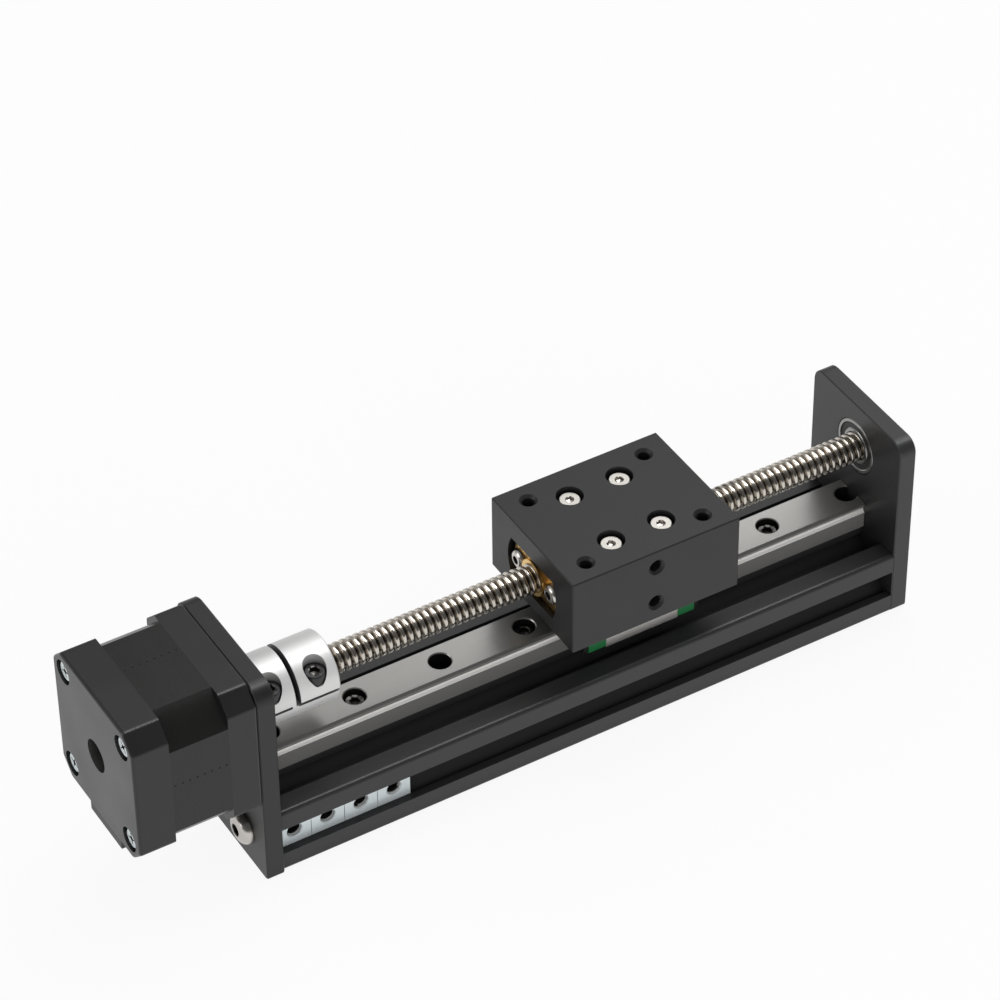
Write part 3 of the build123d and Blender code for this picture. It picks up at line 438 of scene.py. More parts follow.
# Painted light: a brighter copy of the zinc for the thread near the mouth of each slot nut's bore.
LIT_TAPPED_ZINC = Finish(
    "zinc_tapped_bore_painted_light", "zinc_steel", (0.92, 0.94, 0.93), (0.80, 0.83, 0.82),
    metallic=0.5, roughness=0.28,
)
BLACK_OXIDE = Finish(
    "black_oxide_screw_steel", "black_screw", (0.030, 0.030, 0.032), (0.050, 0.050, 0.052),
    metallic=0.6, roughness=0.30, grain_scale=6000.0, grain_depth=1e-5,
)
OILED_SCREW = Finish(
    "oiled_black_screw_steel", "black_screw", (0.10, 0.10, 0.097), (0.06, 0.06, 0.06),
    metallic=1.0, roughness=0.20, grain_scale=6000.0, grain_depth=1e-5,
)
BRASS = Finish(
    "nut_turned_brass", "brass_nut", (0.86, 0.60, 0.25), (0.74, 0.48, 0.18),
    metallic=1.0, roughness=0.28, pattern=Pattern.TURNED, grain_scale=6000.0, grain_depth=1e-5,
)
GREEN = Finish(
    "end_cap_green_plastic", "green_plastic", (0.0008, 0.088, 0.020), (0.0010, 0.112, 0.027),
    roughness=0.38, grain_scale=3000.0,
)
SEAL = Finish(
    "end_seal_black_rubber", "seal_rubber", (0.006, 0.006, 0.006), (0.011, 0.011, 0.011),
    roughness=0.62, grain_scale=3500.0, grain_depth=3e-5, specular=0.2,
)
SHIELD = Finish(
    "bearing_shield_black_rubber", "seal_rubber", (0.014, 0.014, 0.0145), (0.020, 0.020, 0.0205),
    roughness=0.5, grain_scale=3500.0, specular=0.35,
)
CONNECTOR = Finish(
    "connector_black_plastic", "connector_plastic", (0.016, 0.016, 0.017), (0.026, 0.026, 0.027),
    roughness=0.45, grain_scale=3500.0,
)
PIN = Finish(
    "connector_pin_tin", "pin_metal", (0.72, 0.70, 0.64), (0.62, 0.60, 0.54),
    metallic=1.0, roughness=0.28,
)
COPPER = Finish(
    "winding_enamelled_copper", "copper_enamel", (0.50, 0.17, 0.06), (0.36, 0.11, 0.04),
    metallic=0.7, roughness=0.35, pattern=Pattern.ALONG_X, grain_scale=2500.0, grain_depth=1e-4,
    coat=0.5,
)
MAGNET = Finish(
    "rotor_magnet_sintered", "magnet", (0.10, 0.10, 0.105), (0.16, 0.16, 0.165),
    metallic=0.5, roughness=0.5,
)


def dress(finish: Finish, *nodes: str) -> None:
    """Give CAD nodes a finish.

    Args:
        finish: Finish to use.
        *nodes: Names of the nodes.
    """
    for name in nodes:
        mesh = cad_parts[name].data
        mesh.materials.clear()
        mesh.materials.append(finish.material())
        LOG.info("dressed %s in %s", name, finish.name)


def line_faces(piece: Object, finish: Finish, inside: Callable[[Vector], bool]) -> None:
    """Give some faces of a piece, such as those inside its holes, a finish of their own.

    Args:
        piece: CAD node's object, or a new piece.
        finish: Finish of those faces.
        inside: Test for the middle of a face, in metres.
    """
    mesh = piece.data
    mesh.materials.append(finish.material())
    for face in mesh.polygons:
        if inside(piece.matrix_world @ face.center):
            face.material_index = len(mesh.materials) - 1


def on_radius(radius: float, slack: float = 0.2) -> Callable[[Vector], bool]:
    """Make a test for points at one distance from the screw's axis.

    Args:
        radius: The distance in millimetres.
        slack: How far from it a point may lie.

    Returns:
        The test.
    """
    return lambda spot: abs(math.hypot(spot.y, spot.z - AXIS_HEIGHT) - radius * MM) < slack * MM


def place_piece(
    name: str, bm: BMesh, finish: Finish, body: str, stands_for: Sequence[str] = (),
    smooth_degrees: float = 35.0, recess: Finish | None = None,
) -> Object:
    """Turn a finished bmesh into a piece that rides on a body.

    Args:
        name: Name of the piece.
        bm: Mesh in metres, in the shared frame. It is freed here.
        finish: Finish of the piece.
        body: Body that carries the piece.
        stands_for: CAD nodes that the piece replaces.
        smooth_degrees: Edges sharper than this stay crisp.
        recess: Finish of the faces that the mesh marks with material index 1.

    Returns:
        The new object.
    """
    bmesh.ops.remove_doubles(bm, verts=bm.verts, dist=1e-7)
    bmesh.ops.recalc_face_normals(bm, faces=bm.faces)
    mesh = bpy.data.meshes.new(name)
    bm.to_mesh(mesh)
    bm.free()
    mesh.materials.append(finish.material())
    if recess:
        mesh.materials.append(recess.material())
    mesh.shade_smooth()
    mesh.set_sharp_from_angle(angle=math.radians(smooth_degrees))
    made = bpy.data.objects.new(name, mesh)
    bpy.context.scene.collection.objects.link(made)
    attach(made, body)
    if stands_for:
        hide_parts(*stands_for)
    LOG.info("made %s with %d faces", name, len(mesh.polygons))
    return made


def stamped(template: Mesh, places: Sequence[Matrix]) -> BMesh:
    """Copy a mesh to several places and drop the original.

    Args:
        template: Mesh to copy.
        places: Place of each copy.

    Returns:
        The copies in one mesh.
    """
    bm = bmesh.new()
    for place in places:
        known = len(bm.verts)
        bm.from_mesh(template)
        bm.verts.ensure_lookup_table()
        bmesh.ops.transform(bm, matrix=place, verts=bm.verts[known:])
    bpy.data.meshes.remove(template)
    return bm


def lathe(profile: Sequence[Pair], segments: int = 72) -> BMesh:
    """Turn a closed profile about the screw's axis.

    Args:
        profile: Places along X and radii, in metres, in order round the section.
        segments: Steps of the full turn.

    Returns:
        The turned mesh.
    """
    bm = bmesh.new()
    ring = [bm.verts.new((x, 0.0, AXIS_HEIGHT + radius)) for x, radius in profile]
    loop = [bm.edges.new(pair) for pair in zip(ring, ring[1:] + ring[:1])]
    bmesh.ops.spin(
        bm, geom=ring + loop, cent=(0.0, 0.0, AXIS_HEIGHT), axis=(1.0, 0.0, 0.0),
        angle=math.tau, steps=segments, use_merge=True,
    )
    return bm


class Facing(Enum):
    """Way that the head of a screw looks."""

    UP = Matrix.Identity(4)
    MOTOR = Matrix.Rotation(-math.pi / 2, 4, "Y")
    FAR = Matrix.Rotation(math.pi / 2, 4, "Y")
    NEAR = Matrix.Rotation(math.pi / 2, 4, "X")
    BACK = Matrix.Rotation(-math.pi / 2, 4, "X")


def at(place: Vector, facing: Facing, roll_degrees: float = 0.0) -> Matrix:
    """Place something at a point, turned to face a direction.

    Args:
        place: Point in metres.
        facing: Direction of its local Z.
        roll_degrees: Turn about its own axis.

    Returns:
        The placing matrix.
    """
    roll = Matrix.Rotation(math.radians(roll_degrees), 4, "Z")
    return Matrix.Translation(place) @ facing.value @ roll


def at_each(spots: Sequence[Vector], facing: Facing, step: float = 0.0, first: float = 0.0) -> list[Matrix]:
    """Place something at several points, each turned further about its own axis.

    Args:
        spots: Points in metres.
        facing: Direction of the local Z.
        step: Turn from each one to the next, in degrees.
        first: Turn of the first one, in degrees.

    Returns:
        The placing matrices.
    """
    return [at(spot, facing, first + step * number) for number, spot in enumerate(spots)]


CROSS_ARM = math.radians(12.0)
CROSS_WAIST = 0.42
KNURL_DEPTH = 0.05 * MM


@dataclass(frozen=True)
class Ring:
    """One ring of a fastener: its largest radius and its height in millimetres, and its shape.

    A hexagon has half its width across flats as the radius.
    """

    radius: float
    height: float
    outline: Outline = Outline.ROUND

    def point(self, index: int, count: int) -> Vector:
        """Find one point of the ring.

        Args:
            index: Number of the point.
            count: Points in the ring.

        Returns:
            The point in metres.
        """
        angle = math.tau * index / count
        radius = self.radius * MM
        if self.outline is Outline.HEXAGON:
            radius /= math.cos((angle + math.pi / 6) % (math.pi / 3) - math.pi / 6)
        elif self.outline is Outline.KNURL:
            radius -= KNURL_DEPTH * (index % 2)
        elif self.outline is Outline.CROSS:
            from_arm = abs((angle + math.pi / 4) % (math.pi / 2) - math.pi / 4)
            radius *= 1.0 if from_arm < CROSS_ARM else CROSS_WAIST
        return Vector((radius * math.cos(angle), radius * math.sin(angle), self.height * MM))


def stack_rings(rings: Sequence[Ring], segments: int) -> Mesh:
    """Build a closed body from rings about Z, one drawn on from the other.

    Args:
        rings: Rings from the tip of the shank to the floor of the recess.
        segments: Points in each ring.

    Returns:
        The mesh, its axis on Z.
    """
    bm = bmesh.new()
    points = bmesh.ops.create_circle(bm, cap_ends=True, segments=segments, radius=MM)["verts"]
    loop = list(bm.edges)
    for number, ring in enumerate(rings):
        if number:
            grown = bmesh.ops.extrude_edge_only(bm, edges=loop)["geom"]
            points = {part for part in grown if isinstance(part, BMVert)}
            loop = [part for part in grown if isinstance(part, BMEdge)]
            loop = [edge for edge in loop if points.issuperset(edge.verts)]
        points = sorted(points, key=lambda vert: math.atan2(vert.co.y, vert.co.x) % math.tau)
        for index, vert in enumerate(points):
            vert.co = ring.point(index, segments)
    bmesh.ops.edgeloop_fill(bm, edges=loop)
    bmesh.ops.recalc_face_normals(bm, faces=bm.faces)
    mesh = bpy.data.meshes.new("fastener_template")
    bm.to_mesh(mesh)
    bm.free()
    return mesh


@dataclass(frozen=True)
class Fastener:
    """Sizes of one kind of screw, in millimetres, with key as the width of its recess."""

    shank: float
    head: float
    height: float
    length: float
    key: float
    recess: Outline = Outline.HEXAGON
    domed: bool = False
    knurled: bool = False
    segments: int = 48
    foot: float = 0.1
    dome_edge: float = 0.12
    dome_steps: int = 7
    crown_share: float = 0.72
    bevel_share: float = 0.1
    recess_share: float = 0.5
    rim_share: float = 1.22
    rim_drop: float = 0.12
    turns: float = 3.0
    groove_share: float = 0.3
    smooth_degrees: float = 28.0

    def _thread(self) -> list[Ring]:
        """Rings of the threaded shank, from its tip to the head."""
        pitch = self.shank / self.turns
        depth = pitch * self.groove_share
        rings = [Ring(self.shank - 1.5 * depth, -self.length)]
        height = -self.length + pitch * 0.5
        while height < -pitch:
            rings.append(Ring(self.shank - depth, height))
            rings.append(Ring(self.shank, height + pitch / 2))
            height += pitch
        rings.append(Ring(self.shank - depth, -pitch * 0.2))
        return rings

    def _head(self) -> list[Ring]:
        """Rings of the head, from its underside to the rim of the recess."""
        if self.domed:
            crown = self.key * self.crown_share
            rise = self.height - self.dome_edge
            rings = [Ring(self.head - self.foot, 0.0), Ring(self.head, self.dome_edge)]
            for step in range(1, self.dome_steps + 1):
                angle = math.pi / 2 * step / self.dome_steps
                radius = crown + (self.head - crown) * math.cos(angle)
                rings.append(Ring(radius, self.dome_edge + rise * math.sin(angle)))
            return rings
        side = Outline.KNURL if self.knurled else Outline.ROUND
        bevel = self.height * self.bevel_share
        return [
            Ring(self.head - self.foot, 0.0),
            Ring(self.head, self.foot, side),
            Ring(self.head, self.height - bevel * 1.6, side),
            Ring(self.head - bevel * 0.4, self.height - bevel * 0.6),
            Ring(self.head - bevel * 1.3, self.height),
        ]

    def template(self) -> Mesh:
        """Build one screw along Z, the underside of its head at the origin.

        Returns:
            The screw's mesh.
        """
        rim = half = self.key / 2
        top, depth = self.height, self.height * self.recess_share
        floor = top - depth
        socket = [
            Ring(rim, top, self.recess),
            Ring(rim * 0.8, floor, self.recess),
            Ring(rim * 0.2, top - depth * 1.2),
        ]
        if self.recess is Outline.HEXAGON:
            rim *= self.rim_share
            socket = [
                Ring(rim, top),
                Ring(half, top - self.rim_drop, self.recess),
                Ring(half, floor, self.recess),
                Ring(half * 0.15, floor - half * 0.4),
            ]
        mesh = stack_rings(self._thread() + self._head() + socket, self.segments)
        # Faces inside the recess take the recess finish, painted shade unless the group gives another.
        for face in mesh.polygons:
            under_rim = 0.0 < face.center.z < (top - self.rim_drop / 3.0) * MM
            if under_rim and math.hypot(face.center.x, face.center.y) < rim * MM:
                face.material_index = 1
        return mesh

    def pair(self, node: str, facing: Facing, step: float = 0.0, first: float = 0.0) -> list[Matrix]:
        """Place two screws side by side across the stage, where a CAD group has them.

        Args:
            node: CAD node of the screws.
            facing: Way that the heads look, towards the motor or away from it.
            step: Turn from one to the other, in degrees.
            first: Turn of the first one, in degrees.

        Returns:
            The placing matrices.
        """
        low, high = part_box(node)
        head, seat = self.head * MM, self.height * MM
        x = high.x - seat if facing is Facing.FAR else low.x + seat
        height = (low.z + high.z) / 2
        spots = [Vector((x, y, height)) for y in (low.y + head, high.y - head)]
        return at_each(spots, facing, step, first)

    def group(
        self, name: str, places: Sequence[Matrix], finish: Finish, body: str, node: str,
        socket: Finish = SOCKET_SHADE,
    ) -> None:
        """Put this screw at several places, in the place of a CAD node.

        Args:
            name: Name of the new piece.
            places: Place of each screw, its head along local Z.
            finish: Finish of the screws.
            body: Body that carries them.
            node: CAD node that they replace.
            socket: Finish inside the recess; the default is painted shade.
        """
        bm = stamped(self.template(), places)
        place_piece(name, bm, finish, body, [node], self.smooth_degrees, socket)


def helix(profile: Sequence[Pair], pitch: float, start: float, end: float, segments: int) -> BMesh:
    """Cut a right-hand thread about Z between two heights.

    Args:
        profile: Heights and radii of one tooth, in metres, from its start.
        pitch: Height of one tooth.
        start: Height where the thread begins.
        end: Height where it stops.
        segments: Steps of one turn.

    Returns:
        The threaded surface, open at both ends.
    """
    bm = bmesh.new()
    teeth = math.ceil((end - start) / pitch) + 2
    line = [
        bm.verts.new((radius, 0.0, start - pitch + pitch * tooth + height))
        for tooth in range(teeth)
        for height, radius in profile
    ]
    edges = [bm.edges.new(pair) for pair in zip(line, line[1:])]
    bmesh.ops.spin(
        bm, geom=line + edges, cent=(0.0, 0.0, 0.0), axis=(0.0, 0.0, 1.0),
        dvec=(0.0, 0.0, pitch / segments), angle=math.tau, steps=segments, use_merge=False,
    )
    bmesh.ops.remove_doubles(bm, verts=bm.verts, dist=1e-6)
    for height, outward in ((start, -1.0), (end, 1.0)):
        bmesh.ops.bisect_plane(
            bm, geom=bm.verts[:] + bm.edges[:] + bm.faces[:], dist=1e-8,
            plane_co=(0.0, 0.0, height), plane_no=(0.0, 0.0, outward), clear_outer=True,
        )
    return bm


@dataclass(frozen=True)
class TappedHoles:
    """Thread shown inside a set of tapped holes, in millimetres."""

    root: float
    crest: float
    pitch: float
    depth: float
    segments: int = 24

    def template(self) -> Mesh:
        """Build the thread of one hole, its mouth at the origin and its depth along -Z.

        Returns:
            The thread's mesh.
        """
        pitch = self.pitch * MM
        root, crest = self.root * MM, self.crest * MM
        tooth = [(0.0, root), (pitch * 0.12, root), (pitch * 0.45, crest), (pitch * 0.6, crest)]
        bm = helix(tooth, pitch, -self.depth * MM, 0.0, self.segments)
        bmesh.ops.reverse_faces(bm, faces=bm.faces)
        mesh = bpy.data.meshes.new("tapped_template")
        bm.to_mesh(mesh)
        bm.free()
        return mesh

    def group(self, name: str, places: Sequence[Matrix], finish: Finish, body: str) -> Object:
        """Put the thread into several holes.

        Args:
            name: Name of the new piece.
            places: Mouth of each hole, local Z pointing out.
            finish: Finish of the threads.
            body: Body that carries them.

        Returns:
            The piece that holds the threads.
        """
        return place_piece(name, stamped(self.template(), places), finish, body)


@dataclass
class BaseFrame:
    """Profile, plates, guide rail and what fastens them."""

    rail_pitch: float = 25.0
    rail_screw_holes: tuple[int, ...] = (0, 2, 3, 5)
    rail_hole: float = 3.2
    rail_mouth: float = 0.3
    race_depth: float = 2.1
    race_inset: float = 1.5
    skin: float = 0.02
    nut_count: int = 4
    nut_length: float = 9.4
    nut_mouth: float = 0.2
    lit_thread: float = 1.2
    rail_roll: float = 17.0
    plate_roll: float = 25.0
    nut_roll: float = 70.0
    rail_screws: Fastener = Fastener(1.5, 2.75, 3.0, 8.0, 2.5, knurled=True)
    plate_screws: Fastener = Fastener(2.5, 4.75, 2.75, 12.0, 3.0, domed=True)
    slot_nut_bore: TappedHoles = TappedHoles(2.09, 1.9, 0.8, 2.7)

    def rail_screw_places(self) -> list[Matrix]:
        """Places of the rail screws, read from the CAD group."""
        low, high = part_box("rail_screws")
        first = low.x + self.rail_screws.head * MM
        seat = high.z - self.rail_screws.height * MM
        along = [first + self.rail_pitch * MM * hole for hole in self.rail_screw_holes]
        return at_each([Vector((x, 0.0, seat)) for x in along], Facing.UP, self.rail_roll)

    def dress_rail(self) -> None:
        """Dress the guide rail, with painted shade inside its holes, painted light on its sides and a
        painted highlight on the lower halves of its ball races.
        """
        dress(RAIL_STEEL, "guide_rail")
        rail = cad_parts["guide_rail"]
        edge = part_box("guide_rail")[1]
        hole = self.rail_hole * MM
        inside = edge.y - self.race_inset * MM
        side = edge.y - self.skin * MM
        under = edge.z - self.rail_mouth * MM
        race = edge.z - self.race_depth * MM
        floor = race - self.race_depth * MM
        # Painted shade on the faces inside the rail's holes.
        line_faces(rail, RAIL_HOLE_SHADE, lambda spot: spot.z < under and abs(spot.y) < hole)
        # Painted light on the rail's sides.
        line_faces(rail, RAIL_SIDE_LIGHTENED, lambda spot: spot.z < under and abs(spot.y) > side)
        # Painted highlight on the lower halves of the ball races.
        line_faces(rail, RAIL_RACE_HIGHLIGHT, lambda spot: floor < spot.z < race and inside < abs(spot.y) < side)

    def slot_nut_places(self) -> list[Matrix]:
        """Mouths of the slot nuts' threaded holes."""
        low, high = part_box("slot_nuts")
        length = self.nut_length * MM
        pitch = (high.x - low.x - length) / (self.nut_count - 1)
        mouth = low.y + self.nut_mouth * MM
        height = (low.z + high.z) / 2
        along = [low.x + length / 2 + pitch * number for number in range(self.nut_count)]
        return at_each([Vector((x, mouth, height)) for x in along], Facing.NEAR, self.nut_roll)

    def build(self) -> None:
        """Dress the fixed parts and model their fasteners."""
        dress(PROFILE, "base_extrusion")
        dress(PLATE, "motor_plate")
        dress(FAR_PLATE_LIGHTENED, "end_plate")
        self.dress_rail()
        dress(ZINC, "slot_nuts")
        places = self.rail_screw_places()
        self.rail_screws.group("rail_socket_screws", places, OILED_SCREW, "base", "rail_screws")
        for node, facing in (("motor_plate_screws", Facing.MOTOR), ("end_plate_screws", Facing.FAR)):
            places = self.plate_screws.pair(node, facing, self.plate_roll)
            self.plate_screws.group(f"{node}_domed", places, STAINLESS, "base", node)
        # Painted light on the thread near each bore's mouth, and painted shade on the thread deeper in.
        threads = self.slot_nut_bore.group("slot_nut_threads", self.slot_nut_places(), LIT_TAPPED_ZINC, "base")
        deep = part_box("slot_nuts")[0].y + self.lit_thread * MM
        line_faces(threads, SOCKET_SHADE, lambda spot: spot.y > deep)


@dataclass
class Motor:
    """Stepper motor: caps, laminated stack, case screws, connector and what lies inside."""

    hole_pitch: float = 31.0
    case_screw: Fastener = Fastener(1.5, 2.75, 2.4, 26.0, 3.4, recess=Outline.CROSS)
    mount_screw: Fastener = Fastener(1.5, 2.75, 3.0, 5.6, 2.5, knurled=True)
    dimple_count: int = 8
    dimple_pitch: float = 2.0
    dimple_radius: float = 0.32
    dimple_flatness: float = 0.15
    dimple_start: float = 1.0
    dimple_rise: float = 1.9
    dimple_side: float = 2.7
    rear_opening: float = 4.5
    roll_step: float = 31.0
    first_roll: float = 12.0

    def corner_places(self, x: float, facing: Facing) -> list[Matrix]:
        """Places of four screws on the motor's bolt square.

        Args:
            x: Place of the heads' undersides along X.
            facing: Way that the heads look.

        Returns:
            The placing matrices.
        """
        half = self.hole_pitch * MM / 2
        spots = [Vector((x, a * half, AXIS_HEIGHT + b * half)) for a in (-1, 1) for b in (-1, 1)]
        return at_each(spots, facing, self.roll_step, self.first_roll)

    def dimples(self) -> None:
        """Model the two rows of small pressed dimples on the laminated stack."""
        low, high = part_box("motor_stator")
        radius = self.dimple_radius * MM
        bm = bmesh.new()
        for number in range(self.dimple_count):
            x = low.x + self.dimple_start * MM + self.dimple_pitch * MM * number
            near = at(Vector((x, low.y, AXIS_HEIGHT + self.dimple_rise * MM)), Facing.NEAR)
            top = at(Vector((x, self.dimple_side * MM, high.z)), Facing.UP)
            for place in (near, top):
                made = bmesh.ops.create_uvsphere(
                    bm, u_segments=10, v_segments=6, radius=radius, matrix=place
                )
                flat = place @ Matrix.Scale(self.dimple_flatness, 4, (0, 0, 1)) @ place.inverted()
                bmesh.ops.transform(bm, matrix=flat, verts=made["verts"])
        place_piece("stack_dimples", bm, SEAL, "base")

    def build(self) -> None:
        """Dress the motor and model its screws."""
        dress(MOTOR_COAT, "motor_front_cap", "motor_rear_cap")
        line_faces(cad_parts["motor_rear_cap"], CUT_METAL, on_radius(self.rear_opening))
        dress(LAMINATION, "motor_stator", "motor_rotor_stacks")
        dress(COPPER, "motor_windings")
        dress(MAGNET, "motor_rotor_magnet")
        dress(BEARING, "motor_bearing_outer_rings", "motor_bearing_inner_rings")
        dress(BEARING, "motor_preload_washer")
        dress(BALL, "motor_bearing_balls")
        dress(SHAFT_STEEL, "motor_shaft")
        dress(CONNECTOR, "motor_connector")
        dress(PIN, "motor_connector_pins")
        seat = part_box("motor_case_screws")[0].x + self.case_screw.height * MM
        places = self.corner_places(seat, Facing.MOTOR)
        self.case_screw.group("motor_case_cross_screws", places, ZINC, "base", "motor_case_screws")
        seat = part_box("motor_mount_screws")[1].x - self.mount_screw.height * MM
        places = self.corner_places(seat, Facing.FAR)
        self.mount_screw.group(
            "motor_mount_socket_screws", places, BLACK_OXIDE, "base", "motor_mount_screws"
        )
        self.dimples()


@dataclass
class ScrewLine:
    """Coupling, lead screw and the bearing at the far plate."""

    pitch: float = 2.0
    crest: float = 4.0
    core: float = 2.9
    crest_flat: float = 0.95
    flank_degrees: float = 15.0
    tip: float = 0.18
    segments: int = 40
    clamp_screw: Fastener = Fastener(1.5, 2.75, 3.0, 8.0, 2.5, knurled=True)
    clamp_turn: float = 5.0
    clamp_roll: float = 20.0
    clamp_offset: float = 6.0
    clamp_spread: float = 6.3
    clamp_seat: float = 3.1
    outer_ring: Pair = (6.75, 8.0)
    inner_ring: Pair = (4.05, 5.25)
    ring_edge: float = 0.25

    def thread(self) -> None:
        """Model the rolled trapezoidal thread, with painted shade on its roots."""
        low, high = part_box("lead_screw")
        flank = (self.crest - self.core) * math.tan(math.radians(self.flank_degrees))
        tip = self.tip
        rise = self.pitch - self.crest_flat - flank
        fall = self.pitch - flank
        low_side, high_side = self.crest - tip, self.crest - tip * 0.3
        tooth = [
            (0.0, self.core), (rise - flank, self.core), (rise - tip * 0.27, low_side),
            (rise + tip * 0.3, high_side), (rise + tip, self.crest), (fall - tip, self.crest),
            (fall - tip * 0.3, high_side), (fall + tip * 0.27, low_side),
        ]
        profile = [(height * MM, radius * MM) for height, radius in tooth]
        bm = helix(profile, self.pitch * MM, low.x, high.x, self.segments)
        bmesh.ops.holes_fill(bm, edges=[edge for edge in bm.edges if edge.is_boundary], sides=0)
        bmesh.ops.rotate(
            bm, verts=bm.verts, cent=(0.0, 0.0, 0.0), matrix=Matrix.Rotation(math.pi / 2, 3, "Y")
        )
        bmesh.ops.translate(bm, verts=bm.verts, vec=(0.0, 0.0, AXIS_HEIGHT))
        made = place_piece("lead_screw_thread", bm, SCREW_STEEL, "screw", ["lead_screw"], 40.0)
        # Painted shade on the faces at the root radius.
        line_faces(made, SCREW_ROOT_SHADE, on_radius(self.core))

    def clamp_places(self) -> list[Matrix]:
        """Places of the two clamp screws."""
        low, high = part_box("shaft_coupling")
        middle = (low.x + high.x) / 2
        turn = Matrix.Translation((0.0, 0.0, AXIS_HEIGHT))
        turn = turn @ Matrix.Rotation(math.radians(self.clamp_turn), 4, "X")
        along = Matrix.Translation((middle, 0.0, 0.0))
        across, height = -self.clamp_offset * MM, self.clamp_seat * MM
        spots = [Vector((side * self.clamp_spread * MM, across, height)) for side in (-1, 1)]
        return [along @ turn @ at(spot, Facing.UP, self.clamp_roll) for spot in spots]

    def bearing(self) -> None:
        """Turn the two rings of the end bearing."""
        low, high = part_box("end_bearing_outer_ring")
        edge = self.ring_edge * MM
        start, end = low.x, high.x
        for side, radii, body in (("outer", self.outer_ring, "base"), ("inner", self.inner_ring, "screw")):
            inner, outer = (radius * MM for radius in radii)
            profile = [
                (start, inner + edge), (start, outer - edge), (start + edge, outer), (end - edge, outer),
                (end, outer - edge), (end, inner + edge), (end - edge, inner), (start + edge, inner),
            ]
            node = f"end_bearing_{side}_ring"
            place_piece(f"end_bearing_{side}_race", lathe(profile), BEARING_RING, body, [node])

    def build(self) -> None:
        """Model the screw line."""
        dress(SILVER, "shaft_coupling")
        dress(SHIELD, "end_bearing_shields")
        dress(BALL, "end_bearing_balls")
        self.thread()
        self.bearing()
        places, node = self.clamp_places(), "coupling_clamp_screws"
        self.clamp_screw.group("coupling_socket_screws", places, BLACK_OXIDE, "screw", node)


@dataclass
class Carriage:
    """Table, guide block and nut."""

    block_bolts: Pair = (15.0, 20.0)
    corner_holes: Pair = (35.0, 28.0)
    side_drops: Pair = (5.3, 17.3)
    thread_inset: float = 0.9
    block_roll: float = 23.0
    nut_roll: float = 11.0
    block_screw: Fastener = Fastener(1.5, 2.85, 2.0, 23.1, 2.0)
    nut_screw: Fastener = Fastener(1.5, 2.85, 1.65, 8.0, 2.0, domed=True)
    cap_screw: Fastener = Fastener(1.0, 1.9, 1.3, 9.0, 2.4, recess=Outline.CROSS)
    tapped: TappedHoles = TappedHoles(1.64, 1.5, 0.7, 7.5)
    side_tapped: TappedHoles = TappedHoles(1.64, 1.5, 0.7, 6.5)

    def grid(self, spread: Pair, height: float) -> list[Vector]:
        """Four points about the middle of the table.

        Args:
            spread: Distances between the points along X and Y, in millimetres.
            height: Height of the points, in metres.

        Returns:
            The four points.
        """
        half_x, half_y = (value * MM / 2 for value in spread)
        low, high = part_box("carriage_table")
        x = (low.x + high.x) / 2
        return [Vector((x + a * half_x, b * half_y, height)) for a in (-1, 1) for b in (-1, 1)]

    def hole_threads(self) -> None:
        """Model the threads inside the table's tapped holes."""
        low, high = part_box("carriage_table")
        mouth = self.thread_inset * MM
        places = at_each(self.grid(self.corner_holes, high.z - mouth), Facing.UP)
        self.tapped.group("table_top_threads", places, ANODISED, "carriage")
        x = (low.x + high.x) / 2
        sides = ((low.y + mouth, Facing.NEAR), (high.y - mouth, Facing.BACK))
        places = [
            at(Vector((x, y, high.z - drop * MM)), facing) for drop in self.side_drops for y, facing in sides
        ]
        self.side_tapped.group("table_side_threads", places, ANODISED, "carriage")

    def build(self) -> None:
        """Dress the carriage and model its fasteners."""
        dress(ANODISED, "carriage_table")
        dress(BLOCK_STEEL, "bearing_block")
        dress(GREEN, "block_end_cap_motor_side", "block_end_cap_far_side")
        dress(SEAL, "block_seal_motor_side", "block_seal_far_side")
        dress(BALL, "guide_balls")
        dress(BRASS, "lead_nut")
        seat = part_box("block_screws")[1].z - self.block_screw.height * MM
        places = at_each(self.grid(self.block_bolts, seat), Facing.UP, self.block_roll)
        self.block_screw.group(
            "block_socket_screws", places, BRIGHT_STEEL, "carriage", "block_screws", STAINLESS
        )
        places = self.nut_screw.pair("nut_screws", Facing.MOTOR, first=self.nut_roll)
        self.nut_screw.group("nut_domed_screws", places, STAINLESS, "carriage", "nut_screws")
        places = self.cap_screw.pair("block_cap_screws", Facing.MOTOR)
        places += self.cap_screw.pair("block_cap_screws", Facing.FAR)
        self.cap_screw.group("block_cap_cross_screws", places, ZINC, "carriage", "block_cap_screws")
        self.hole_threads()


@dataclass(frozen=True)
class Lamp:
    """One area lamp that looks at the stage, in metres and watts."""

    name: str
    place: Triple
    size: float
    power: float
    share: float = 1.0
    mirrored: bool = True
    scattered: bool = True

    def hang(self) -> None:
        """Add the lamp, its short side being a share of the long one."""
        data = bpy.data.lights.new(self.name, "AREA")
        data.shape = "RECTANGLE"
        data.size = self.size * self.share
        data.size_y = self.size
        data.energy = self.power
        made = bpy.data.objects.new(self.name, data)
        made.location = self.place
        made.rotation_euler = (-Vector(self.place)).to_track_quat("-Z", "Y").to_euler()
        made.visible_glossy = self.mirrored
        made.visible_diffuse = self.scattered
        bpy.context.scene.collection.objects.link(made)


LAMPS = (
    Lamp("top_lamp", (0.50, 0.30, 1.16), 1.0, 7.0),
    Lamp("front_lamp", (-0.3, -1.5, 0.7), 1.2, 13.0, mirrored=False),
    Lamp("side_lamp", (-1.2, 0.3, 0.5), 0.8, 5.0),
    Lamp("edge_lamp", (0.48, 0.0, 1.14), 0.9, 5.0, share=0.25, scattered=False),
)


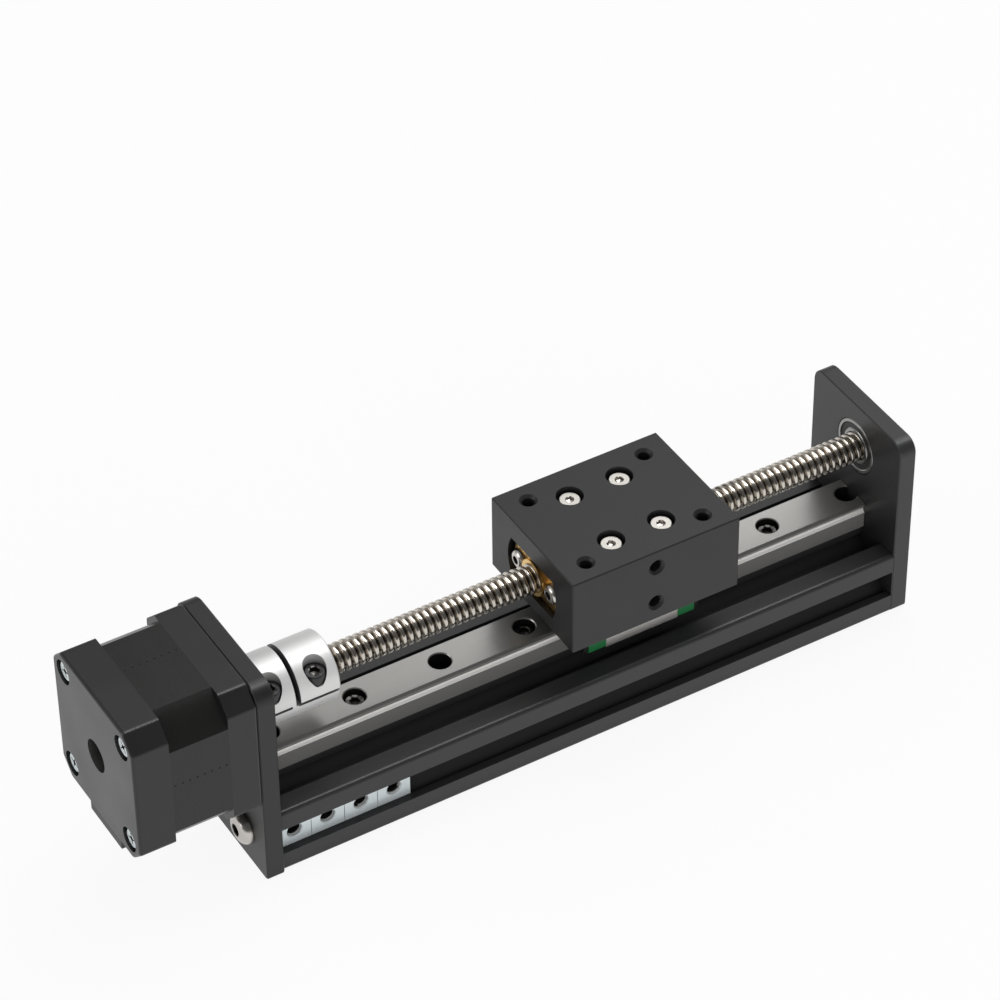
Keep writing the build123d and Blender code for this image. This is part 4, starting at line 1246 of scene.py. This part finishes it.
@dataclass
class Studio:
    """Floor, lamps, world and camera."""

    azimuth: float = -30.499
    elevation: float = 40.877
    roll: float = -0.658
    distance: float = 1106.4
    target: Triple = (3.3, 0.0, 28.0)
    slide: Pair = (17.313, -28.001)
    focal_pixels: float = 4284.7
    image_pixels: float = 1000.0
    sensor: float = 36.0
    sky_mirrored: Pair = (0.10, 0.42)
    sky_soft: float = 0.45
    floor_seen: float = 0.9
    floor_across: Pair = (0.68, 0.5)
    floor_along: Pair = (1.05, 2.0)
    floor_size: float = 6.0
    floor_drop: float = 0.0002

    def camera(self) -> None:
        """Place the camera where the photograph was taken from."""
        a, e, r = (math.radians(v) for v in (self.azimuth, self.elevation, self.roll))
        back = Vector((math.sin(a) * math.cos(e), -math.cos(a) * math.cos(e), math.sin(e)))
        level = Vector((0.0, 0.0, 1.0)).cross(back).normalized()
        steep = back.cross(level)
        right = math.cos(r) * level + math.sin(r) * steep
        up = -math.sin(r) * level + math.cos(r) * steep
        place = Vector([side * MM for side in self.target]) + back * self.distance * MM
        place -= right * self.slide[0] * MM + up * self.slide[1] * MM
        data = bpy.data.cameras.new("camera")
        data.sensor_width = self.sensor
        data.lens = self.focal_pixels / self.image_pixels * self.sensor
        data.clip_start = 0.05
        data.clip_end = 20.0
        made = bpy.data.objects.new("camera", data)
        axes = Matrix((right, up, back)).transposed()
        made.matrix_world = Matrix.Translation(place) @ axes.to_4x4()
        bpy.context.scene.collection.objects.link(made)
        bpy.context.scene.camera = made

    def world(self) -> None:
        """Give the stage soft light all round and a white background."""
        world = bpy.data.worlds.new("studio_world")
        world.use_nodes = True
        bpy.context.scene.world = world
        links = Links(world.node_tree)
        shown = links.node("LightPath")
        seen = links.math("MAXIMUM", shown.outputs["Is Camera Ray"], shown.outputs["Is Transmission Ray"])
        parts = links.axis_parts("Generated")
        side = links.ramp(parts.outputs["Y"], (-0.5, 0.35), self.sky_mirrored, "SMOOTHSTEP")
        mirrored = links.math("MULTIPLY", shown.outputs["Is Glossy Ray"], side)
        matt = links.math("SUBTRACT", 1.0, shown.outputs["Is Glossy Ray"])
        soft = links.math("MULTIPLY", matt, self.sky_soft)
        level = links.math("MAXIMUM", links.math("MAXIMUM", seen, mirrored), soft)
        white = {"Color": (1.0, 1.0, 1.0, 1.0), "Strength": level}
        links.fill(world.node_tree.nodes["Background"], white)

    def floor(self) -> None:
        """Lay a white floor that keeps a faint shadow."""
        bm = bmesh.new()
        bmesh.ops.create_grid(bm, x_segments=1, y_segments=1, size=self.floor_size)
        bmesh.ops.translate(bm, verts=bm.verts, vec=(0.0, 0.0, -self.floor_drop))
        mesh = bpy.data.meshes.new("floor")
        bm.to_mesh(mesh)
        bm.free()
        paint = bpy.data.materials.new("floor_white")
        paint.use_nodes = True
        links = Links(paint.node_tree)
        base = paint.node_tree.nodes["Principled BSDF"]
        links.fill(base, {"Base Color": (0.82, 0.82, 0.82, 1.0), "Roughness": 0.9})
        glow = links.node("Emission")
        path = links.node("LightPath")
        seen = links.math("MULTIPLY", path.outputs["Is Camera Ray"], self.floor_seen)
        parts = links.axis_parts("Object")
        side = links.ramp(parts.outputs["Y"], (-0.04, 0.03), self.floor_across, "SMOOTHSTEP")
        along = links.ramp(parts.outputs["X"], (-0.12, 0.12), self.floor_along)
        level = links.math("MULTIPLY", side, along)
        mirrored = links.math("MULTIPLY", path.outputs["Is Glossy Ray"], level)
        share = links.math("MAXIMUM", seen, mirrored)
        shaders = {"Fac": share, 1: base.outputs["BSDF"], 2: glow.outputs["Emission"]}
        mix = links.fill(links.node("MixShader"), shaders)
        links.fill(paint.node_tree.nodes["Material Output"], {"Surface": mix.outputs["Shader"]})
        mesh.materials.append(paint)
        made = bpy.data.objects.new("floor", mesh)
        bpy.context.scene.collection.objects.link(made)

    def build(self) -> None:
        """Set up the studio."""
        bpy.context.scene.view_settings.view_transform = "Standard"
        self.camera()
        self.world()
        self.floor()
        for lamp in LAMPS:
            lamp.hang()


def main() -> None:
    """Build the studio and every sub-assembly, and log each one."""
    logging.basicConfig(level=logging.INFO, format="%(name)s: %(message)s")
    for part in (Studio(), BaseFrame(), Motor(), ScrewLine(), Carriage()):
        part.build()
        LOG.info("built %s", type(part).__name__)


if __name__ == "__main__":
    main()
